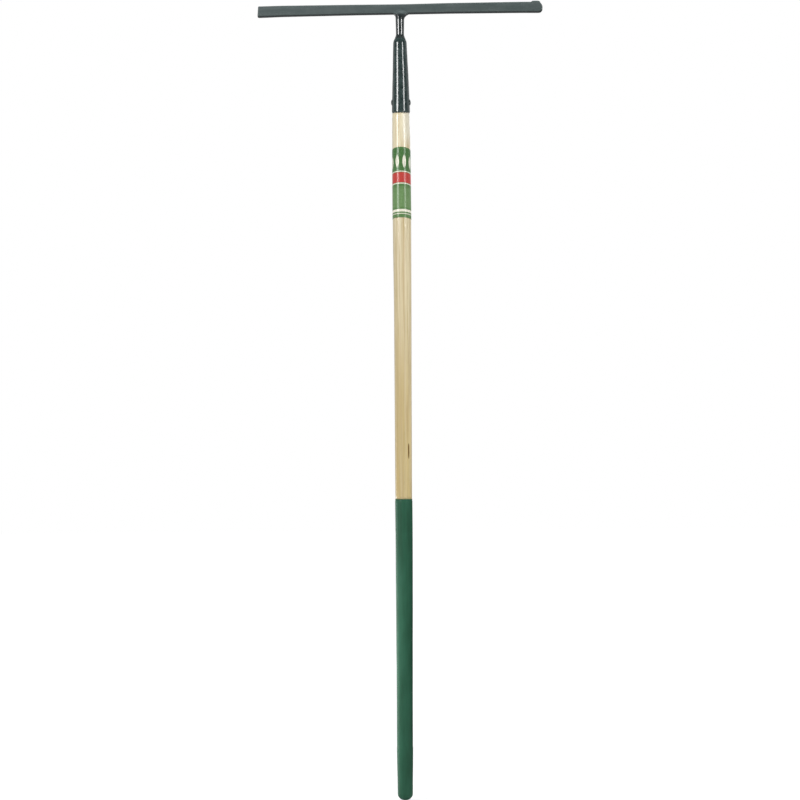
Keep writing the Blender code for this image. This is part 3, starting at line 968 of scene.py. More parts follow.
@dataclass(frozen=True)
class PrintedFilm(Finish):
    """Glossy green label film with a plain printed pattern of leaves, rules and stripes."""

    title: str = "printed_film"
    deep_green: Colour = (0.052, 0.150, 0.040)
    mid_green: Colour = (0.098, 0.205, 0.068)
    pale_green: Colour = (0.26, 0.40, 0.18)
    red: Colour = (0.50, 0.055, 0.045)
    cream: Colour = (0.80, 0.77, 0.64)
    fade: Span = (0.05, 0.95)
    ink_scale: float = 900.0
    ink_span: Span = (0.35, 0.75)
    ink_share: float = 0.16
    red_band: Span = (0.57, 0.072)
    rules: tuple[Span, ...] = ((0.655, 0.006), (0.485, 0.006), (0.10, 0.018), (0.055, 0.005))
    print_blur: float = 0.004
    leaves_round: int = 8
    leaf_middle: float = 0.80
    leaf_half_height: float = 0.105
    leaf_half_width: float = 0.27
    leaf_blur: float = 0.03
    midrib: Span = (0.02, 0.045)
    stripes_round: int = 46
    stripe_half_width: float = 0.2
    stripe_blur: float = 0.12
    stripe_foot: Span = (0.14, 0.16)
    stripe_head: Span = (0.47, 0.40)
    stripe_share: float = 0.7
    roughness: Span = (0.20, 0.32)
    roughness_span: Span = (0.3, 0.7)
    bump_depth: float = 0.02 * MM
    bump_strength: float = 0.5

    def paint(self, graph: NodeGraph, shader: bpy.types.Node) -> None:
        """Join the printed pattern, read from the film's own map, and its gloss.

        Args:
            graph: the material's nodes.
            shader: the surface shader.
        """
        flat = graph.add("ShaderNodeTexCoord").outputs["UV"]
        around, up, _ = graph.split(flat)
        ink = graph.noise(self.object_place(graph), self.ink_scale, detail=3.0)
        ground = graph.tint(graph.level(up, *self.fade), self.mid_green, self.deep_green)
        spread = graph.tint(graph.level(ink, *self.ink_span, 0.0, self.ink_share), ground, self.pale_green)
        striped = graph.tint(self.stripes(graph, around, up), spread, self.pale_green)
        leafy = graph.tint(self.leaves(graph, around, up), striped, self.cream)
        printed = graph.tint(graph.band(up, *self.red_band, self.print_blur), leafy, self.red)
        for rule in self.rules:
            printed = graph.tint(graph.band(up, *rule, self.print_blur), printed, self.cream)
        graph.feed(shader.inputs["Base Color"], printed)
        graph.feed(shader.inputs["Roughness"], graph.level(ink, *self.roughness_span, *self.roughness))
        graph.feed(shader.inputs["Normal"], graph.bump(ink, self.bump_depth, self.bump_strength))

    def leaves(self, graph: NodeGraph, around: NodeSocket, up: NodeSocket) -> NodeSocket:
        """Return a row of plain upright leaves with a bare midrib.

        Args:
            graph: the material's nodes.
            around: place round the film.
            up: place up the film.

        Returns:
            The leaves' mask.
        """
        across = graph.math("FRACT", graph.times(around, float(self.leaves_round)))
        aside = graph.math("ABSOLUTE", graph.minus(across, 0.5))
        along = graph.math("DIVIDE", graph.minus(up, self.leaf_middle), self.leaf_half_height)
        arch = graph.minus(1.0, graph.math("POWER", graph.math("ABSOLUTE", along), 2.0))
        edge = graph.minus(graph.times(arch, self.leaf_half_width), aside)
        return graph.times(graph.level(edge, 0.0, self.leaf_blur), graph.level(aside, *self.midrib))

    def stripes(self, graph: NodeGraph, around: NodeSocket, up: NodeSocket) -> NodeSocket:
        """Return fine upright stripes below the red band.

        Args:
            graph: the material's nodes.
            around: place round the film.
            up: place up the film.

        Returns:
            The stripes' mask.
        """
        across = graph.math("FRACT", graph.times(around, float(self.stripes_round)))
        line = graph.band(across, 0.5, self.stripe_half_width, self.stripe_blur)
        area = graph.times(graph.level(up, *self.stripe_foot), graph.level(up, *self.stripe_head))
        return graph.times(graph.times(line, area), self.stripe_share)


@dataclass(frozen=True)
class SatinVinyl(Finish):
    """Smooth satin green vinyl with faint draw lines and dust-fine grain."""

    title: str = "satin_vinyl"
    deep: Colour = (0.0135, 0.085, 0.043)
    soft: Colour = (0.0215, 0.116, 0.064)
    clouds: Grain = Grain(60.0, 14.0, 3.0)
    draw_lines: Grain = Grain(700.0, 9.0, span=(0.45, 0.8), share=0.22)
    line_lift: float = 1.5
    skin_scale: float = 1900.0
    roughness: Span = (0.46, 0.58)
    roughness_span: Span = (0.3, 0.7)
    specular: float = 0.34
    line_relief: float = 0.5
    skin_relief: float = 0.5
    bump_depth: float = 0.03 * MM
    bump_strength: float = 0.6

    def paint(self, graph: NodeGraph, shader: bpy.types.Node) -> None:
        """Join cloudy colour, draw lines and a fine skin.

        Args:
            graph: the material's nodes.
            shader: the surface shader.
        """
        place = self.object_place(graph)
        cloud = self.clouds.shade(graph, self.clouds.noise(graph, place))
        line = self.draw_lines.noise(graph, place)
        skin = graph.noise(place, self.skin_scale)
        ground = graph.tint(cloud, self.deep, self.soft)
        bright = tuple(self.line_lift * part for part in self.soft)
        lined = graph.tint(self.draw_lines.shade(graph, line), ground, bright)
        graph.feed(shader.inputs["Base Color"], lined)
        graph.feed(shader.inputs["Roughness"], graph.level(skin, *self.roughness_span, *self.roughness))
        shader.inputs["Specular IOR Level"].default_value = self.specular
        relief = graph.plus(graph.times(line, self.line_relief), graph.times(skin, self.skin_relief))
        graph.feed(shader.inputs["Normal"], graph.bump(relief, self.bump_depth, self.bump_strength))


# The bar's base is set lighter than the neck's and socket's: partly its own paint, partly painted sheen
# standing in for lamp light its face catches
BAR_PAINT_AND_SHEEN = HammeredPaint(
    "bar_paint_and_painted_sheen",
    (0.059, 0.079, 0.078),
    (0.072, 0.092, 0.091),
    roughness=(0.34, 0.46),
    specular=0.5,
    drawn_out=7.0,
    fleck_share=0.12,
)
TINE_PAINT = HammeredPaint(
    "tine_paint_hammered",
    (0.052, 0.067, 0.066),
    (0.078, 0.096, 0.095),
    roughness=(0.32, 0.46),
    specular=0.5,
    fleck_share=0.2,
)
WELD_PAINT = HammeredPaint(
    "weld_paint_hammered",
    (0.052, 0.070, 0.070),
    (0.080, 0.100, 0.100),
    roughness=(0.34, 0.46),
    specular=0.5,
    cell=2.2 * MM,
    drawn_out=3.0,
    fleck_share=0.25,
)
NECK_PAINT = HammeredPaint(
    "neck_paint_hammered",
    (0.012, 0.017, 0.017),
    (0.030, 0.040, 0.040),
    ior=1.66,
    bump_depth=0.02 * MM,
)
SOCKET_PAINT = HammeredPaint("socket_paint_hammered", (0.014, 0.026, 0.025), (0.033, 0.054, 0.052))
RIVET_PAINT = HammeredPaint("rivet_paint_hammered", (0.017, 0.025, 0.024), (0.036, 0.050, 0.049))
SHAFT_WOOD = LacqueredAsh()
LABEL_FILM = PrintedFilm()
SLEEVE_VINYL = SatinVinyl()


# Geometry Nodes


@dataclass(frozen=True)
class Lumps:
    """Soft lumps on a surface: their height, their size all ways or along X, Y and Z, and their seed."""

    depth: float
    cell: float | Place
    seed: float

    def inputs(self) -> dict[str, object]:
        """Return the values of a tree's named inputs for these lumps.

        Returns:
            A value for each input.
        """
        sizes = self.cell if isinstance(self.cell, tuple) else (self.cell,) * 3
        grain = [1.0 / size for size in sizes]
        return {"Depth": self.depth, "Grain": grain, "Seed": self.seed}


@dataclass(frozen=True)
class Row:
    """A straight row of copies."""

    start: Place
    pitch: Place
    count: int
    turn: Place = (0.0, 0.0, 0.0)

    def inputs(self) -> dict[str, object]:
        """Return the values of a tree's named inputs for this row.

        Returns:
            A value for each input.
        """
        return {
            "Start": list(self.start),
            "Pitch": list(self.pitch),
            "Count": self.count,
            "Turn": list(self.turn),
        }


class GeometryRecipe(NodeGraph):
    """A Geometry Nodes tree with named inputs that ends in real faces and a material."""

    def __init__(self, name: str) -> None:
        """Make an empty tree with a geometry input and a material input.

        Args:
            name: the tree's name.
        """
        super().__init__(bpy.data.node_groups.new(name, "GeometryNodeTree"))
        self.identifiers: dict[str, str] = {}
        self.entry = self.add("NodeGroupInput")
        self.exit = self.add("NodeGroupOutput")
        self.base = self.ask("Geometry", InputKind.GEOMETRY)
        self.cover = self.ask("Material", InputKind.MATERIAL)
        self.tree.interface.new_socket("Geometry", in_out="OUTPUT", socket_type=InputKind.GEOMETRY.value)

    def ask(self, name: str, kind: InputKind) -> NodeSocket:
        """Add a named input.

        Args:
            name: the input's name.
            kind: what it takes.

        Returns:
            The socket that gives its value inside the tree.
        """
        item = self.tree.interface.new_socket(name, in_out="INPUT", socket_type=kind.value)
        self.identifiers[name] = item.identifier
        return self.entry.outputs[name]

    def repeat(self) -> NodeSocket:
        """Repeat the base along a straight row, with inputs for the row.

        Returns:
            The real faces of all copies.
        """
        row = self.add("GeometryNodeMeshLine", mode="OFFSET")
        self.feed(row.inputs["Start Location"], self.ask("Start", InputKind.VECTOR))
        self.feed(row.inputs["Offset"], self.ask("Pitch", InputKind.VECTOR))
        self.feed(row.inputs["Count"], self.ask("Count", InputKind.COUNT))
        turned = self.add("ShaderNodeVectorMath", operation="SCALE")
        self.feed(turned.inputs[0], self.ask("Turn", InputKind.VECTOR))
        self.feed(turned.inputs["Scale"], self.add("GeometryNodeInputIndex").outputs[0])
        copies = self.add("GeometryNodeInstanceOnPoints")
        self.feed(copies.inputs["Points"], row.outputs[0])
        self.feed(copies.inputs["Instance"], self.base)
        self.feed(copies.inputs["Rotation"], turned.outputs[0])
        real = self.add("GeometryNodeRealizeInstances")
        self.feed(real.inputs[0], copies.outputs[0])
        return real.outputs[0]

    def emboss(self, geometry: NodeSocket) -> NodeSocket:
        """Raise soft lumps along the surface, with inputs for their height, size and seed.

        Args:
            geometry: the faces to raise.

        Returns:
            The raised faces.
        """
        depth = self.ask("Depth", InputKind.NUMBER)
        grain = self.ask("Grain", InputKind.VECTOR)
        seed = self.ask("Seed", InputKind.NUMBER)
        place = self.add("ShaderNodeVectorMath", operation="MULTIPLY")
        self.feed(place.inputs[0], self.add("GeometryNodeInputPosition").outputs[0])
        self.feed(place.inputs[1], grain)
        lumps = self.add("ShaderNodeTexNoise", noise_dimensions="4D")
        self.feed(lumps.inputs["Vector"], place.outputs[0])
        self.feed(lumps.inputs["W"], seed)
        self.feed(lumps.inputs["Scale"], 1.0)
        self.feed(lumps.inputs["Detail"], LUMP_DETAIL)
        height = self.times(self.minus(lumps.outputs[0], 0.5), depth)
        rise = self.add("ShaderNodeVectorMath", operation="SCALE")
        self.feed(rise.inputs[0], self.add("GeometryNodeInputNormal").outputs[0])
        self.feed(rise.inputs["Scale"], height)
        moved = self.add("GeometryNodeSetPosition")
        self.feed(moved.inputs["Geometry"], geometry)
        self.feed(moved.inputs["Offset"], rise.outputs[0])
        return moved.outputs[0]

    def close(self, geometry: NodeSocket) -> None:
        """End the tree in real faces with the material.

        Args:
            geometry: the finished faces.
        """
        real = self.add("GeometryNodeRealizeInstances")
        self.feed(real.inputs[0], geometry)
        covered = self.add("GeometryNodeSetMaterial")
        self.feed(covered.inputs["Geometry"], real.outputs[0])
        self.feed(covered.inputs["Material"], self.cover)
        self.feed(self.exit.inputs[0], covered.outputs[0])

    def settle(self, piece: MeshObject, values: dict[str, object]) -> None:
        """Run the tree on a piece and keep the result as its plain mesh.

        Args:
            piece: the piece whose mesh is the tree's base.
            values: a value for each named input.
        """
        modifier = piece.modifiers.new(self.tree.name, "NODES")
        modifier.node_group = self.tree
        for name, value in values.items():
            modifier[self.identifiers[name]] = value
        evaluated = piece.evaluated_get(bpy.context.evaluated_depsgraph_get())
        plain = bpy.data.meshes.new_from_object(evaluated)
        piece.modifiers.remove(modifier)
        piece.data = plain
        plain.name = piece.name

    def dress(self, piece: MeshObject, finish: Finish, *settings: Lumps | Row) -> None:
        """Run the tree on a piece, cover it with a finish and mark its crests.

        Args:
            piece: the piece.
            finish: its finish.
            settings: its lumps and, where it is repeated, its row.
        """
        values: dict[str, object] = {"Material": finish.material()}
        for setting in settings:
            values.update(setting.inputs())
        self.settle(piece, values)
        mark_crests(piece)


class SurfaceRelief(GeometryRecipe):
    """Raises lumps on one piece."""

    def __init__(self) -> None:
        """Build the tree."""
        super().__init__("surface_relief")
        self.close(self.emboss(self.base))


class RepeatedPieces(GeometryRecipe):
    """Repeats one piece along a row and raises lumps on all copies together."""

    def __init__(self) -> None:
        """Build the tree."""
        super().__init__("repeated_pieces")
        self.close(self.emboss(self.repeat()))


# The rake


@dataclass(frozen=True)
class EndShape:
    """How one end of the bar is finished."""

    upper_round: float
    lower_round: float
    face_round: float
    slant: float = 0.0
    upset_height: float = 0.0


@dataclass
class RakeHead:
    """The bar with its sixteen tines."""

    end_drop: float = 1.4 * MM
    left_sag: float = 0.65 * MM
    level_half: float = 12.9 * MM
    lower_chamfer: float = 2.9 * MM
    chamfer_lean: float = 0.8
    edge_radius: float = 1.1 * MM
    edge_limit: float = 0.45
    crown_radius: float = 5.2 * MM
    crown_limit: float = 1.5
    corner_steps: int = 5
    section_points: int = 84
    station_step: float = 1.1 * MM
    end_zone: float = 9 * MM
    end_stations: int = 22
    left_end: EndShape = EndShape(
        upper_round=1.0 * MM, lower_round=2.2 * MM, face_round=1.2 * MM, slant=0.65 * MM
    )
    right_end: EndShape = EndShape(
        upper_round=8.6 * MM, lower_round=6.4 * MM, face_round=2.6 * MM, upset_height=1.7 * MM
    )
    upset_start: float = 18.5 * MM
    upset_end: float = 5.0 * MM
    upset_blend: float = 2.4 * MM
    # Painted shade: tilts at which the bar's downward faces turn dark, as in shadow
    painted_shade_tilts: Span = (0.2, 0.6)
    bar_lumps: Lumps = Lumps(0.14 * MM, (16 * MM, 4.4 * MM, 4.4 * MM), 3.0)
    tine_count: int = 16
    tine_root: Span = (8.0 * MM, 7.0 * MM)
    tine_tip: Span = (4.0 * MM, 3.0 * MM)
    tine_inset: float = 1.2 * MM
    tine_droop: float = 1.2 * MM
    tine_toe: float = 1.3 * MM
    tine_toe_length: float = 3.0 * MM
    tine_root_depth: float = 1.2 * MM
    tine_point: float = 2.4 * MM
    tine_point_share: float = 0.55
    tine_corner_power: float = 0.55
    tine_bunching: float = 0.6
    tine_stations: int = 34
    tine_points: int = 28
    tine_lumps: Lumps = Lumps(0.30 * MM, 4.6 * MM, 11.0)

    def __post_init__(self) -> None:
        """Read the bar's and the tines' boxes from the frame."""
        self.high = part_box("head_bar")[1]
        self.first_low, self.first_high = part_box("tine_01")
        self.last_low, self.last_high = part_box(f"tine_{self.tine_count:02d}")

    def build(self, relief: SurfaceRelief, rows: RepeatedPieces) -> None:
        """Build and dress the bar and the tines.

        Args:
            relief: the tree that raises the paint's lumps.
            rows: the tree that repeats the tines.
        """
        bar = loft("bar", [self.bar_ring(x) for x in self.bar_stations()])
        # Painted shade: the bar's downward faces are darkened as if in shadow
        mark_drips_and_shade(bar, lambda vertex: ease(-vertex.normal.z, *self.painted_shade_tilts))
        # The bar's paint carries painted sheen in its lighter base
        relief.dress(bar, BAR_PAINT_AND_SHEEN, self.bar_lumps)
        enter(bar, Slot.BAR, "head_bar")
        tines = self.tine()
        rows.dress(tines, TINE_PAINT, self.tine_row(), self.tine_lumps)
        names = [f"tine_{number:02d}" for number in range(1, self.tine_count + 1)]
        enter(tines, Slot.TINE, *names)

    def bar_stations(self) -> list[float]:
        """Return the places along the bar where its section is taken, closer at the ends.

        Returns:
            The places, from the left end to the right one.
        """
        half = self.high.x
        inner = half - self.end_zone
        middle = spaced(-inner, inner, round(2 * inner / self.station_step))
        turns = [QUARTER_TURN * step / self.end_stations for step in range(self.end_stations)]
        right = [half - self.end_zone * (1.0 - math.cos(turn)) for turn in turns]
        return [-x for x in right] + middle + right[::-1]

    def bar_ring(self, x: float) -> Ring:
        """Return the bar's section at a place along it.

        Args:
            x: the place.

        Returns:
            The points of the section.
        """
        half = self.high.x
        shape = self.left_end if x < 0 else self.right_end
        inwards = half - abs(x)
        face = self.high.y - round_trim(inwards, shape.face_round)
        lift = through_stations(BAR_WAVE, x)
        top = self.high.z - round_trim(inwards, shape.upper_round) + self.upset(inwards, shape) + lift
        outwards = max(0.0, abs(x) - self.level_half) / (half - self.level_half)
        fall = self.end_drop * outwards + (self.left_sag * outwards**2 if x < 0 else 0.0)
        bottom = round_trim(inwards, shape.lower_round) - fall + lift
        cut = self.lower_chamfer * min(1.0, face / self.high.y)
        corners = [
            (-face, bottom + cut),
            (-face, top),
            (face, top),
            (face, bottom),
            (-face + cut * self.chamfer_lean, bottom),
        ]
        edge = min(self.edge_radius, self.edge_limit * face)
        crown = min(self.crown_radius, self.crown_limit * face)
        ring = self.rounded_ring(corners, [crown, edge, edge, edge, edge])
        lean = shape.slant * (1.0 - ease(inwards, 0.0, self.end_zone))
        middle = (top + bottom) / 2
        points = spread_round(ring, self.section_points)
        return [(x + lean * (z - middle) / (top - middle), y, z) for y, z in points]

    def upset(self, inwards: float, shape: EndShape) -> float:
        """Return the rise of the hammered-up top edge near an end.

        Args:
            inwards: distance from the end.
            shape: how that end is finished.

        Returns:
            The rise of the top edge.
        """
        rise = ease(inwards, self.upset_end - self.upset_blend, self.upset_end)
        fall = ease(inwards, self.upset_start, self.upset_start - self.upset_blend)
        return shape.upset_height * rise * fall

    def rounded_ring(self, corners: Outline, reaches: list[float]) -> Outline:
        """Return a closed ring whose corners are rounded.

        Args:
            corners: the corner points.
            reaches: reach of each round, from the second corner on to the first.

        Returns:
            The ring's points.
        """
        start = ((corners[0][0] + corners[1][0]) / 2, (corners[0][1] + corners[1][1]) / 2)
        walk = [start] + corners[1:] + corners[:1] + [start]
        return soften(walk, reaches, self.corner_steps)[:-1]

    def tine_row(self) -> Row:
        """Return where the tines stand along the bar.

        Returns:
            The row of the tines' roots.
        """
        first = (self.first_low.x + self.first_high.x) / 2
        last = (self.last_low.x + self.last_high.x) / 2
        pitch = (last - first) / (self.tine_count - 1)
        height = self.first_high.z - self.tine_root[1] / 2 - self.tine_inset
        return Row((first, self.high.y, height), (pitch, 0.0, 0.0), self.tine_count)

    def tine(self) -> MeshObject:
        """Return one forged tine that starts inside the bar and ends in a blunt point.

        Returns:
            The tine, with its root at the origin.
        """
        length = self.first_high.y - self.high.y
        rings = []
        for share in spaced(0.0, 1.0, self.tine_stations):
            bunched = mix(share, ease(share, 0.0, 1.0), self.tine_bunching)
            rings.append(self.tine_ring(mix(-self.tine_root_depth, length, bunched), length))
        return loft("tines", rings)

    def tine_ring(self, y: float, length: float) -> Ring:
        """Return a tine's section at a distance from the bar's back.

        Args:
            y: the distance.
            length: the tine's length.

        Returns:
            The points of a rounded oblong.
        """
        share = max(0.0, y / length)
        toe = self.tine_toe * max(0.0, 1.0 - max(0.0, y) / self.tine_toe_length) ** 2
        point = 1.0 - self.tine_point_share * round_trim(length - y, self.tine_point) / self.tine_point
        half_width = mix(self.tine_root[0], self.tine_tip[0], share) / 2 * point + toe
        half_height = mix(self.tine_root[1], self.tine_tip[1], share) / 2 * point + toe
        ring = []
        for step in range(self.tine_points):
            turn = math.tau * step / self.tine_points
            across = math.copysign(abs(math.cos(turn)) ** self.tine_corner_power, math.cos(turn))
            up = math.copysign(abs(math.sin(turn)) ** self.tine_corner_power, math.sin(turn))
            ring.append((half_width * across, y, half_height * up - self.tine_droop * share**2))
        return ring


@dataclass
class WeldedNeck:
    """The round neck, its weld to the bar and the bead at the socket's nose."""

    top_radius: float = 7.1 * MM
    lower_radius: float = 6.55 * MM
    straight_end: float = -6.2 * MM
    narrow_height: float = -34.0 * MM
    neck_round: float = 2.0 * MM
    neck_step: float = 0.8 * MM
    neck_lumps: Lumps = Lumps(0.05 * MM, 3.2 * MM, 5.0)
    left_drop: float = 4.4 * MM
    right_drop: float = 8.8 * MM
    left_leg: float = 4.6 * MM
    right_leg: float = 7.9 * MM
    leg_power: float = 2.4
    depth_leg: float = 0.4 * MM
    weld_sunk: float = 0.25 * MM
    side_toe: float = 0.35 * MM
    face_toe: float = 0.3 * MM
    toe_share: float = 0.2
    crown: float = 10.8 * MM
    crown_power: float = 2.2
    crown_least: float = 0.02
    lobe_proud: float = 0.22 * MM
    lobe_full: float = 0.75
    lobe_fall: float = 0.72
    lobe_sunk: float = 0.3 * MM
    gloss_top: float = 3.2 * MM
    gloss_foot: float = -2.0 * MM
    weld_steps: int = 44
    weld_lumps: Lumps = Lumps(0.5 * MM, 2.8 * MM, 8.0)
    bead_round: float = 1.2 * MM
    bead_step: float = 0.5 * MM
    bead_lumps: Lumps = Lumps(0.25 * MM, 4.0 * MM, 2.0)
    segments: int = 96

    def __post_init__(self) -> None:
        """Read the boxes of the neck rod, the bead and the bar from the frame."""
        self.low, self.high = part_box("neck_rod")
        self.bead_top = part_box("socket_bead")[1].z
        self.bar_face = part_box("head_bar")[1].y
        self.weld_inside = self.top_radius - self.weld_sunk

    def build(self, relief: SurfaceRelief) -> None:
        """Build and dress the neck, the weld and the bead.

        Args:
            relief: the tree that raises the paint's lumps.
        """
        neck = self.neck()
        relief.dress(neck, NECK_PAINT, self.neck_lumps)
        enter(neck, Slot.NECK, "neck_rod")
        heights = spaced(-self.right_drop, self.crown, self.weld_steps)
        weld = loft("weld", [self.weld_ring(z) for z in heights])
        mark_drips_and_shade(weld, lambda vertex: ease(vertex.co.z, self.gloss_top, self.gloss_foot))
        relief.dress(weld, WELD_PAINT, self.weld_lumps)
        enter(weld, Slot.WELD, "neck_weld")
        bead = self.bead()
        relief.dress(bead, NECK_PAINT, self.bead_lumps)
        enter(bead, Slot.WELD, "socket_bead")

    def neck(self) -> MeshObject:
        """Return the neck rod with a slight taper and an end inside the socket.

        Returns:
            The neck.
        """
        outline = [
            (0.0, self.high.z),
            (self.top_radius, self.high.z),
            (self.top_radius, self.straight_end),
            (self.lower_radius, self.narrow_height),
            (self.lower_radius, self.low.z),
            (0.0, self.low.z),
        ]
        return revolve("neck", refine(soften(outline, self.neck_round), self.neck_step), self.segments)

    def weld_ring(self, z: float) -> Ring:
        """Return the level section of the weld, a lopsided flare with a lobe on both faces of the bar.

        Args:
            z: the height.

        Returns:
            The points of an oval with unlike sides.
        """
        left = self.weld_reach(z, self.left_drop, self.left_leg)
        right = self.weld_reach(z, self.right_drop, self.right_leg)
        deep = self.weld_depth(z)
        ring = []
        for step in range(self.segments):
            turn = math.tau * step / self.segments
            reach = right if math.cos(turn) > 0 else left
            ring.append((reach * math.cos(turn), deep * math.sin(turn), z))
        return ring

    def weld_reach(self, z: float, drop: float, leg: float) -> float:
        """Return how far the weld reaches to one side of the axis.

        Args:
            z: the height.
            drop: how far down the neck this side begins.
            leg: how far this side spreads under the bar.

        Returns:
            The reach.
        """
        if z < 0.0:
            share = max(0.0, 1.0 + z / drop)
            toe = self.side_toe * ease(share, 0.0, self.toe_share)
            return self.weld_inside + toe + leg * share**self.leg_power
        share = min(1.0, z / self.crown)
        return (self.weld_inside + leg) * math.sqrt(max(self.crown_least, 1.0 - share**self.crown_power))

    def weld_depth(self, z: float) -> float:
        """Return how far the weld stands out in front of and behind the axis.

        Args:
            z: the height.

        Returns:
            The depth.
        """
        if z < 0.0:
            share = max(0.0, 1.0 + z / self.right_drop)
            toe = self.face_toe * ease(share, 0.0, self.toe_share)
            return self.weld_inside + toe + self.depth_leg * share**2
        share = min(1.0, z / self.crown)
        flare = self.weld_inside + self.face_toe + self.depth_leg
        lobe = mix(flare, self.bar_face + self.lobe_proud, ease(share, 0.0, self.lobe_full))
        return mix(lobe, self.bar_face - self.lobe_sunk, ease(share, self.lobe_fall, 1.0))

    def bead(self) -> MeshObject:
        """Return the bead that blends the neck into the socket's shoulder.

        Returns:
            The bead.
        """
        outline = [(self.lower_radius + out, self.bead_top + up) for out, up in NOSE_BEAD]
        smooth = refine(soften(outline, self.bead_round), self.bead_step)
        return revolve("nose_bead", smooth, self.segments, closed=True)


@dataclass
class RivetedSocket:
    """The tapered socket with its swaged shoulder, rolled lip and through rivet."""

    nose_radius: float = 7.95 * MM
    nose_bore: float = 6.85 * MM
    swage_radius: float = 10.85 * MM
    swage_height: float = -44.2 * MM
    shoulder_radius: float = 11.15 * MM
    shoulder_height: float = -48.5 * MM
    belly_radius: float = 13.32 * MM
    belly_height: float = -110 * MM
    mouth_flare: float = 0.15 * MM
    band_height: float = -154.2 * MM
    wall: float = 1.6 * MM
    lip_drop: float = 1.6 * MM
    lip_round: float = 0.7 * MM
    corner_round: float = 2.0 * MM
    socket_step: float = 0.75 * MM
    socket_segments: int = 160
    socket_lumps: Lumps = Lumps(0.17 * MM, 4.8 * MM, 7.0)
    rivet_radius: float = 5.0 * MM
    rivet_proud: float = 1.9 * MM
    rivet_crown: float = 0.45 * MM
    rivet_sunk: float = 2.2 * MM
    shank_radius: float = 2.5 * MM
    rivet_dome_steps: int = 12
    rivet_step: float = 0.6 * MM
    rivet_segments: int = 48
    rivet_lumps: Lumps = Lumps(0.25 * MM, 3.0 * MM, 4.0)

    def __post_init__(self) -> None:
        """Read the boxes of the socket and the rivet from the frame."""
        self.low, self.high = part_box("socket")
        self.rivet_low, self.rivet_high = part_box("socket_rivet")

    def build(self, relief: SurfaceRelief, rows: RepeatedPieces) -> None:
        """Build and dress the socket and its rivet.

        Args:
            relief: the tree that raises the paint's lumps.
            rows: the tree that repeats the rivet's heads.
        """
        socket = self.socket()
        relief.dress(socket, SOCKET_PAINT, self.socket_lumps)
        enter(socket, Slot.SOCKET, "socket")
        rivet = self.rivet_half()
        rows.dress(rivet, RIVET_PAINT, self.rivet_row(), self.rivet_lumps)
        enter(rivet, Slot.RIVET, "socket_rivet")

    def socket(self) -> MeshObject:
        """Return the socket as one closed tube: outer side, rolled lip and bore.

        Returns:
            The socket.
        """
        mouth = self.high.x + self.mouth_flare
        outer = [
            (self.nose_bore, self.high.z),
            (self.nose_radius, self.high.z),
            (self.swage_radius, self.swage_height),
            (self.shoulder_radius, self.shoulder_height),
            (self.belly_radius, self.belly_height),
            (mouth, self.band_height),
            (mouth, self.low.z + self.lip_drop),
            (mouth - self.lip_round, self.low.z),
            (mouth - self.wall, self.low.z),
        ]
        inner = [
            (mouth - self.wall, self.band_height),
            (self.shoulder_radius - self.wall, self.shoulder_height - self.wall),
            (self.nose_bore, self.high.z - self.wall),
        ]
        outline = refine(soften(outer, self.corner_round) + inner, self.socket_step)
        return revolve("socket_tube", outline, self.socket_segments, closed=True)

    def rivet_half(self) -> MeshObject:
        """Return half of the rivet, a domed head on its shank, pointing along +X from the axis.

        Returns:
            The half, with its foot at the origin.
        """
        crown = self.rivet_high.x + self.rivet_crown
        rim = crown - self.rivet_proud
        outline = []
        for step in range(self.rivet_dome_steps + 1):
            turn = QUARTER_TURN * step / self.rivet_dome_steps
            outline.append((self.rivet_radius * math.sin(turn), mix(rim, crown, math.cos(turn))))
        outline += [
            (self.rivet_radius, rim - self.rivet_sunk),
            (self.shank_radius, rim - self.rivet_sunk),
            (self.shank_radius, 0.0),
            (0.0, 0.0),
        ]
        half = revolve("socket_rivet_heads", refine(outline, self.rivet_step), self.rivet_segments)
        half.data.transform(Matrix.Rotation(QUARTER_TURN, 4, "Y"))
        return half

    def rivet_row(self) -> Row:
        """Return the two places of the rivet's halves, turned away from each other."""
        height = (self.rivet_low.z + self.rivet_high.z) / 2
        return Row((0.0, 0.0, height), (0.0, 0.0, 0.0), 2, (0.0, 0.0, math.pi))


